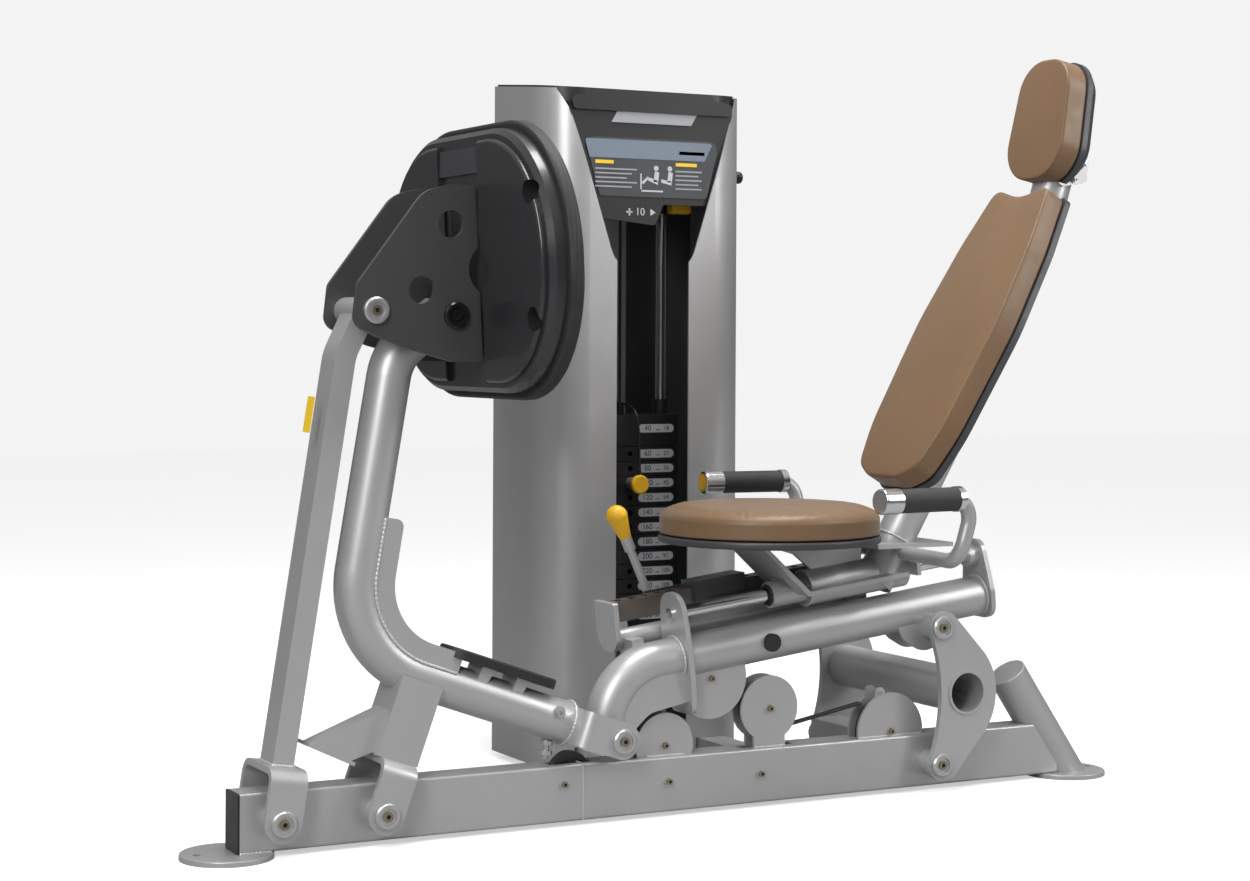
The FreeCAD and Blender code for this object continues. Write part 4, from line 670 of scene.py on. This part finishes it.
def weight_label(plates, marks, height, number):
    spot = facing(Vector((label_x, face_y, height)), *FRONT)
    slab(plates, spot, rounded(0.084, 0.0175, 0.0085), 0.0006)
    left = facing(Vector((label_x - 0.02, face_y - 0.0007, height)), *FRONT)
    right = facing(Vector((label_x + 0.024, face_y - 0.0007, height)), *FRONT)
    letters(marks, str(number), left, 0.0165, 0.0002)
    letters(marks, str(round(number * 0.4536)), right, 0.0135, 0.0002)
    slab(marks, facing(Vector((label_x + 0.004, face_y - 0.0006, height - 0.003)), *FRONT),
         rounded(0.009, 0.0016, 0.0006, 2), 0.0003)


def weight_labels(prefix, body, heights, first):
    plates, marks = bmesh.new(), bmesh.new()
    for i, height in enumerate(heights):
        weight_label(plates, marks, height, first + 20 * i)
    piece(prefix + "_labels", plates, label_paint, body)
    piece(prefix + "_numbers", marks, ink, body)


half_plate = (pitch - PLATE_GAP) / 2
top_of_lifted = lifted_high.z - half_plate
HEAD_LABEL = at(0, 0, 693).z
weight_labels("lower", "base", [stack_high.z - half_plate - i * pitch for i in range(10)], 120)
weight_labels("lifted", "stack", [HEAD_LABEL] + [top_of_lifted - i * pitch for i in range(3)], 40)

panel_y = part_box("instruction_panel")[0].y


def panel_shape(name, outlines, made, thick=0.0006, lift=0.0):
    """Flat printed shapes on the instruction panel, outlines in millimetres of X and Z."""
    bm = bmesh.new()
    for outline in outlines:
        points = [at(x, 0, z) for x, z in outline]
        spot = facing(Vector((0, panel_y - lift, 0)), *FRONT)
        slab(bm, spot, [(p.x, p.z) for p in points], thick)
    return piece(name, bm, made, "base")


def bar(x, z, width, height):
    return [(x + width, z), (x + width, z + height), (x, z + height), (x, z)]


panel_shape("panel_header", [[(892, 1250), (1160, 1250), (1178, 1284), (1174, 1288), (886, 1288),
                              (882, 1284)]], header_print)
lines = [bar(905, 1226 - 9 * i, 96 - 12 * (i % 3), 3.0) for i in range(5)]
lines += [bar(1092, 1226 - 9 * i, 62 - 8 * (i % 2), 3.0) for i in range(5)]
lines += [bar(1100, 1262, 60, 7)]
panel_shape("panel_lines", lines, grey_print)
panel_shape("panel_marks", [bar(905, 1238, 42, 7), bar(1092, 1238, 50, 7)], yellow_print)


def figure(cx, cz, lean):
    """A plain seated figure made of a head, a back, a thigh, a shin and a seat bar."""
    head = [(cx + 5.5 * math.cos(math.radians(a)), cz + 30 + 5.5 * math.sin(math.radians(a)))
            for a in range(0, 360, 30)]
    trunk = [(cx + 5, cz + 2), (cx + 7, cz + 22), (cx - 3, cz + 24), (cx - 6, cz + 2)]
    thigh = [(cx + 4, cz - 4), (cx + 4, cz + 4), (cx - 20, cz + 8 + lean), (cx - 20, cz + 1 + lean)]
    shin = [(cx - 18, cz + 4 + lean), (cx - 20, cz + 9 + lean), (cx - 34, cz - 8 + 2 * lean),
            (cx - 30, cz - 12 + 2 * lean)]
    plate = [(cx - 34, cz - 14), (cx - 34, cz + 18), (cx - 37, cz + 18), (cx - 37, cz - 14)]
    base = bar(cx - 34, cz - 19, 50, 3.5)
    return [head, trunk, thigh, shin[::-1], plate, base]


panel_shape("panel_figures", figure(1046, 1202, 4) + figure(1078, 1202, 0)[:3], label_paint)
panel_shape("tab_mark", [bar(978, 1139, 14, 3.5), [(986.8, 1133.5), (986.8, 1148), (983.2, 1148),
            (983.2, 1133.5)], [(1046, 1141), (1034, 1148), (1034, 1134)]], label_paint, lift=-0.002)
tab_digits = bmesh.new()
tab_spot = facing(Vector((at(1010, 0, 0).x, panel_y + 0.0018, at(0, 0, 1141).z)), *FRONT)
letters(tab_digits, "10", tab_spot, 0.022, 0.0003)
piece("tab_digits", tab_digits, label_paint, "base")

badge = bmesh.new()
fascia_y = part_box("tower_fascia")[0].y
badge_spot = facing(Vector((at(1042, 0, 0).x, fascia_y + 0.006, at(0, 0, 1334).z)), *FRONT)
slab(badge, badge_spot, [(0.086, -0.011), (0.1, 0.013), (-0.086, 0.013), (-0.1, -0.011)], 0.003)
piece("tower_badge", badge, grey_print, "base")


# ---------------------------------------------------------------- small fittings

def button(bm, centre, axis, radius, height, dome=0.25):
    """A round knob with a soft edge, standing on a surface."""
    along = Vector(axis).normalized()
    profile = [(1.0, 0.0), (1.0, 1 - dome), (0.93, 1 - dome * 0.35), (0.78, 1.0), (0.0, 1.0)]
    rings = []
    for share, rise in profile[:-1]:
        ring = circle(Vector(centre) + along * (height * rise), along, radius * share, steps=32)
        rings.append([bm.verts.new(p) for p in ring])
    for a, b in zip(rings, rings[1:]):
        for k in range(32):
            j = (k + 1) % 32
            bm.faces.new((a[k], a[j], b[j], b[k]))
    bm.faces.new(rings[-1])
    bm.faces.new(rings[0][::-1])


side_knob = bmesh.new()
shroud_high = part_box("tower_shroud_right")[1]
knob_foot = (shroud_high.x - 0.0005, at(0, 452, 0).y + 0.06, at(0, 0, 1226).z)
button(side_knob, knob_foot, (1, 0, 0), 0.013, 0.02)
bmesh.ops.recalc_face_normals(side_knob, faces=side_knob.faces)
piece("tower_side_knob", side_knob, finish["black_plastic"], "base", True)

foot_screw = bmesh.new()
front_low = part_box("tower_shroud_left")[0]
button(foot_screw, (front_low.x + 0.001, at(0, 560, 0).y, 0.079), (-1, 0, 0), 0.008, 0.004)
bmesh.ops.recalc_face_normals(foot_screw, faces=foot_screw.faces)
piece("shroud_screw", foot_screw, screw_steel, "base", True)

sticker = bmesh.new()
link_axis = (at(186, 0, 850) - at(62, 0, 63)).normalized()
link_side = facing(at(119, -32, 748), link_axis.cross(Vector((0, 1, 0))), link_axis)
slab(sticker, link_side, rounded(0.013, 0.062, 0.002, 3), 0.0005)
piece("link_sticker", sticker, yellow_print, "link")
mark = bmesh.new()
for step in (-0.018, -0.006, 0.006, 0.018):
    spot = link_side @ Matrix.Translation((0, step, 0.0005))
    slab(mark, spot, rounded(0.007, 0.006, 0.001, 2), 0.0002)
piece("link_sticker_marks", mark, ink, "link")

plate_badge = bmesh.new()
badge_up = Vector((math.sin(math.radians(-3.0)), 0, math.cos(math.radians(-3.0))))
badge_place = facing(at(414, 4, 1190), (0, -1, 0), badge_up)
badge_outline = [(0.082, -0.022), (0.074, 0.024), (-0.074, 0.024), (-0.082, -0.022)]
slab(plate_badge, badge_place, badge_outline, 0.006)
piece("footplate_badge", plate_badge, finish["shell_plastic"], "footplate")

# pivot caps: painted rings with a steel screw, and painted shade for the socket recess in the
# middle
for name, pivots in (("arm_hardware", ("arm_swing", "carriage_rock")),
                     ("link_pin", ("link_swing",)), ("rocker_pins", ("rocker_swing",))):
    for pivot in pivots:
        centre = joints[pivot]["pos_m"]
        paint_round(name, centre, 0.0105, screw_steel)
        paint_round(name, centre, 0.0042, socket_shade_paint)
for name, centre in (("footplate_pins", FOOTPLATE_LINK), ("carriage_pins", ROCKER_TOP)):
    paint_round(name, centre, 0.0105, screw_steel)
    paint_round(name, centre, 0.0042, socket_shade_paint)
# pulley axle and housing bolts: steel screw heads with painted shade in their sockets
for name in ("front", "middle", "rear"):
    paint_round("pulley_housings", joints[name + "_spin"]["pos_m"], 0.0066, screw_steel)
    paint_round("pulley_housings", joints[name + "_spin"]["pos_m"], 0.0032, socket_shade_paint)
for x, z in ((607, 78), (822, 66), (1020, 64)):
    paint_round("pulley_housings", at(x, 0, z), 0.0058, screw_steel)
    paint_round("pulley_housings", at(x, 0, z), 0.0028, socket_shade_paint)
paint_round("carriage_plates", joints["carriage_spin"]["pos_m"], 0.0066, screw_steel)
paint_round("carriage_pins", CARRIAGE_BEND + SLOPE * 0.325, 0.0175, finish["black_rubber"])
paint_round("footplate_pins", joints["footplate_tilt"]["pos_m"], 0.024, dark_chrome)


rod_start = CARRIAGE_BEND + Vector((-0.12403, 0, 0.99228)) * 0.082
bushing = bmesh.new()
bead(bushing, circle(rod_start + SLOPE * 0.3485, SLOPE, 0.0172), 0.0035, True, 10)
piece("sleeve_bushing", bushing, finish["black_rubber"], "seat", True)


# ---------------------------------------------------------------- weld beads

ARM_TOP, ARM_BEND, ARM_END = at(284, 0, 850), at(197, 0, 336), at(630, 0, 181)
CARRIAGE_JOINT = at(706, 0, 154)


def both_sides(bm, points, offset, radius):
    """The same bead on the near and far side of the machine's middle plane."""
    for side in (-1, 1):
        bead(bm, [p + Vector((0, side * offset, 0)) for p in points], radius)


arm_welds = bmesh.new()
normal_a, arc, normal_b = bend(ARM_TOP, ARM_BEND, ARM_END, 0.170, 0.024)
run_up = ARM_BEND + (ARM_TOP - ARM_BEND).normalized() * 0.238 + normal_a * 0.024
run_down = ARM_BEND + (ARM_END - ARM_BEND).normalized() * 0.203 + normal_b * 0.024
both_sides(arm_welds, [run_up] + arc + [run_down], 0.0325, 0.0028)
crown = CARRIAGE_JOINT + (ARM_END - CARRIAGE_JOINT).normalized() * 0.087
bead(arm_welds, circle(crown, (ARM_END - CARRIAGE_JOINT), 0.0405), 0.0028, True)
piece("arm_welds", arm_welds, weld_metal, "arm", True)

link_welds = bmesh.new()
link_crown = at(62, 0, 63) + link_axis * 0.0912
link_out = link_axis.cross(Vector((0, 1, 0))).normalized()
corners = [link_crown + link_out * (a * 0.0195) + Vector((0, b * 0.0325, 0))
           for a, b in ((1, 1), (1, -1), (-1, -1), (-1, 1))]
bead(link_welds, corners, 0.0024, True)
piece("link_welds", link_welds, weld_metal, "link", True)

carriage_welds = bmesh.new()
for step, radius in ((0.1375, 0.0403), (0.8295, 0.0403)):
    bead(carriage_welds, circle(CARRIAGE_BEND + SLOPE * step, SLOPE, radius), 0.0027, True)
piece("carriage_welds", carriage_welds, weld_metal, "carriage", True)

base_welds = bmesh.new()
seam_x = 645.7
ring = [at(seam_x, -32.0, 11), at(seam_x, -32.0, 110),
        at(seam_x, -30.0, 111.7), at(seam_x, 30.0, 111.7),
        at(seam_x, 32.0, 110), at(seam_x, 32.0, 11)]
bead(base_welds, ring, 0.0019)
for side in (-1, 1):
    bead(base_welds, [at(0, side * 32.5, 10), at(56, side * 32.5, 10)], 0.0025)
brace = (at(1615, 0, 214) - at(1792, 0, -40)).normalized()
bead(base_welds, circle(at(1615, 0, 214) - brace * 0.0012, brace, 0.0372), 0.0022, True)
for spin, neck in (("front", 0.04), ("middle", 0.034), ("rear", 0.075)):
    centre = joints[spin + "_spin"]["pos_m"]
    x0 = centre[0]
    bead(base_welds, [Vector((x0 - neck, at(0, -19.5, 0).y, at(0, 0, 111.5).z)),
                      Vector((x0 + neck, at(0, -19.5, 0).y, at(0, 0, 111.5).z))], 0.0022)
piece("base_welds", base_welds, weld_metal, "base", True)

seat_welds = bmesh.new()
bead(seat_welds, circle(rod_start + SLOPE * 0.43, SLOPE, 0.0335), 0.0022, True)
post_axis = (at(1676, 0, 1050) - at(1302, 0, 424)).normalized()
bead(seat_welds, circle(at(1302, 0, 424) + post_axis * 0.077, post_axis, 0.039), 0.0024, True)
piece("seat_welds", seat_welds, weld_metal, "seat", True)


# ---------------------------------------------------------------- room and light

def sheet_plane(name, size, centre, made):
    bm = bmesh.new()
    bmesh.ops.create_grid(bm, x_segments=8, y_segments=8, size=size)
    mesh = bpy.data.meshes.new(name)
    bm.to_mesh(mesh)
    bm.free()
    mesh.materials.append(made)
    obj = bpy.data.objects.new(name, mesh)
    obj.location = centre
    scene.collection.objects.link(obj)
    return obj


floor_paint = surface("studio_floor", (0.34, 0.34, 0.345), 0.7, 0.0, 0.01, 1.0, 50.0, 0.0001)


def seen_pale(tree, output, shader, glow, paint):
    """The camera sees a plain pale surface, while the object is lit by a greyer one."""
    pale = tree.nodes.new("ShaderNodeEmission")
    pale.inputs["Color"].default_value = (1.0, 1.0, 1.0, 1.0)
    pale.inputs["Strength"].default_value = glow
    seen = pale.outputs["Emission"]
    if paint:
        matt = tree.nodes.new("ShaderNodeBsdfDiffuse")
        matt.inputs["Color"].default_value = (paint, paint, paint, 1.0)
        both = tree.nodes.new("ShaderNodeAddShader")
        tree.links.new(seen, both.inputs[0])
        tree.links.new(matt.outputs["BSDF"], both.inputs[1])
        seen = both.outputs["Shader"]
    path = tree.nodes.new("ShaderNodeLightPath")
    pick = tree.nodes.new("ShaderNodeMixShader")
    tree.links.new(path.outputs["Is Camera Ray"], pick.inputs["Fac"])
    tree.links.new(shader, pick.inputs[1])
    tree.links.new(seen, pick.inputs[2])
    tree.links.new(pick.outputs["Shader"], output.inputs["Surface"])


floor_tree = floor_paint.node_tree
seen_pale(floor_tree, floor_tree.nodes["Material Output"],
          floor_tree.nodes["Principled BSDF"].outputs["BSDF"], 0.52, 0.8)
sheet_plane("studio_floor", 14.0, (0, 0, 0), floor_paint)

world = bpy.data.worlds.new("studio")
scene.world = world
world.use_nodes = True
sky = world.node_tree
background = sky.nodes["Background"]
sky_place = sky.nodes.new("ShaderNodeTexCoord")
sky_split = sky.nodes.new("ShaderNodeSeparateXYZ")
sky_ramp = sky.nodes.new("ShaderNodeValToRGB")
sky.links.new(sky_place.outputs["Generated"], sky_split.inputs["Vector"])
sky.links.new(sky_split.outputs["Z"], sky_ramp.inputs["Fac"])
sky_ramp.color_ramp.elements[0].position = 0.0
sky_ramp.color_ramp.elements[0].color = (0.2, 0.2, 0.205, 1.0)
sky_ramp.color_ramp.elements[1].position = 0.75
sky_ramp.color_ramp.elements[1].color = (0.85, 0.85, 0.86, 1.0)
sky.links.new(sky_ramp.outputs["Color"], background.inputs["Color"])
background.inputs["Strength"].default_value = 0.62
seen_pale(sky, sky.nodes["World Output"], background.outputs["Background"], 0.9, 0.0)


def lamp(name, centre, target, width, height, power, colour=(1, 1, 1)):
    data = bpy.data.lights.new(name, "AREA")
    data.shape = "RECTANGLE"
    data.size = width
    data.size_y = height
    data.energy = power
    data.color = colour
    obj = bpy.data.objects.new(name, data)
    obj.location = centre
    obj.rotation_euler = (Vector(target) - Vector(centre)).to_track_quat("-Z", "Y").to_euler()
    scene.collection.objects.link(obj)


lamp("key_light", (-3.0, -2.6, 2.6), (0, 0, 0.6), 1.0, 2.4, 95)
lamp("side_light", (3.0, -2.6, 2.4), (0.3, 0, 0.7), 0.8, 2.4, 62)
lamp("top_light", (0.2, -0.4, 3.4), (0, 0, 0.4), 2.4, 0.8, 75)
scene.view_settings.view_transform = "Standard"
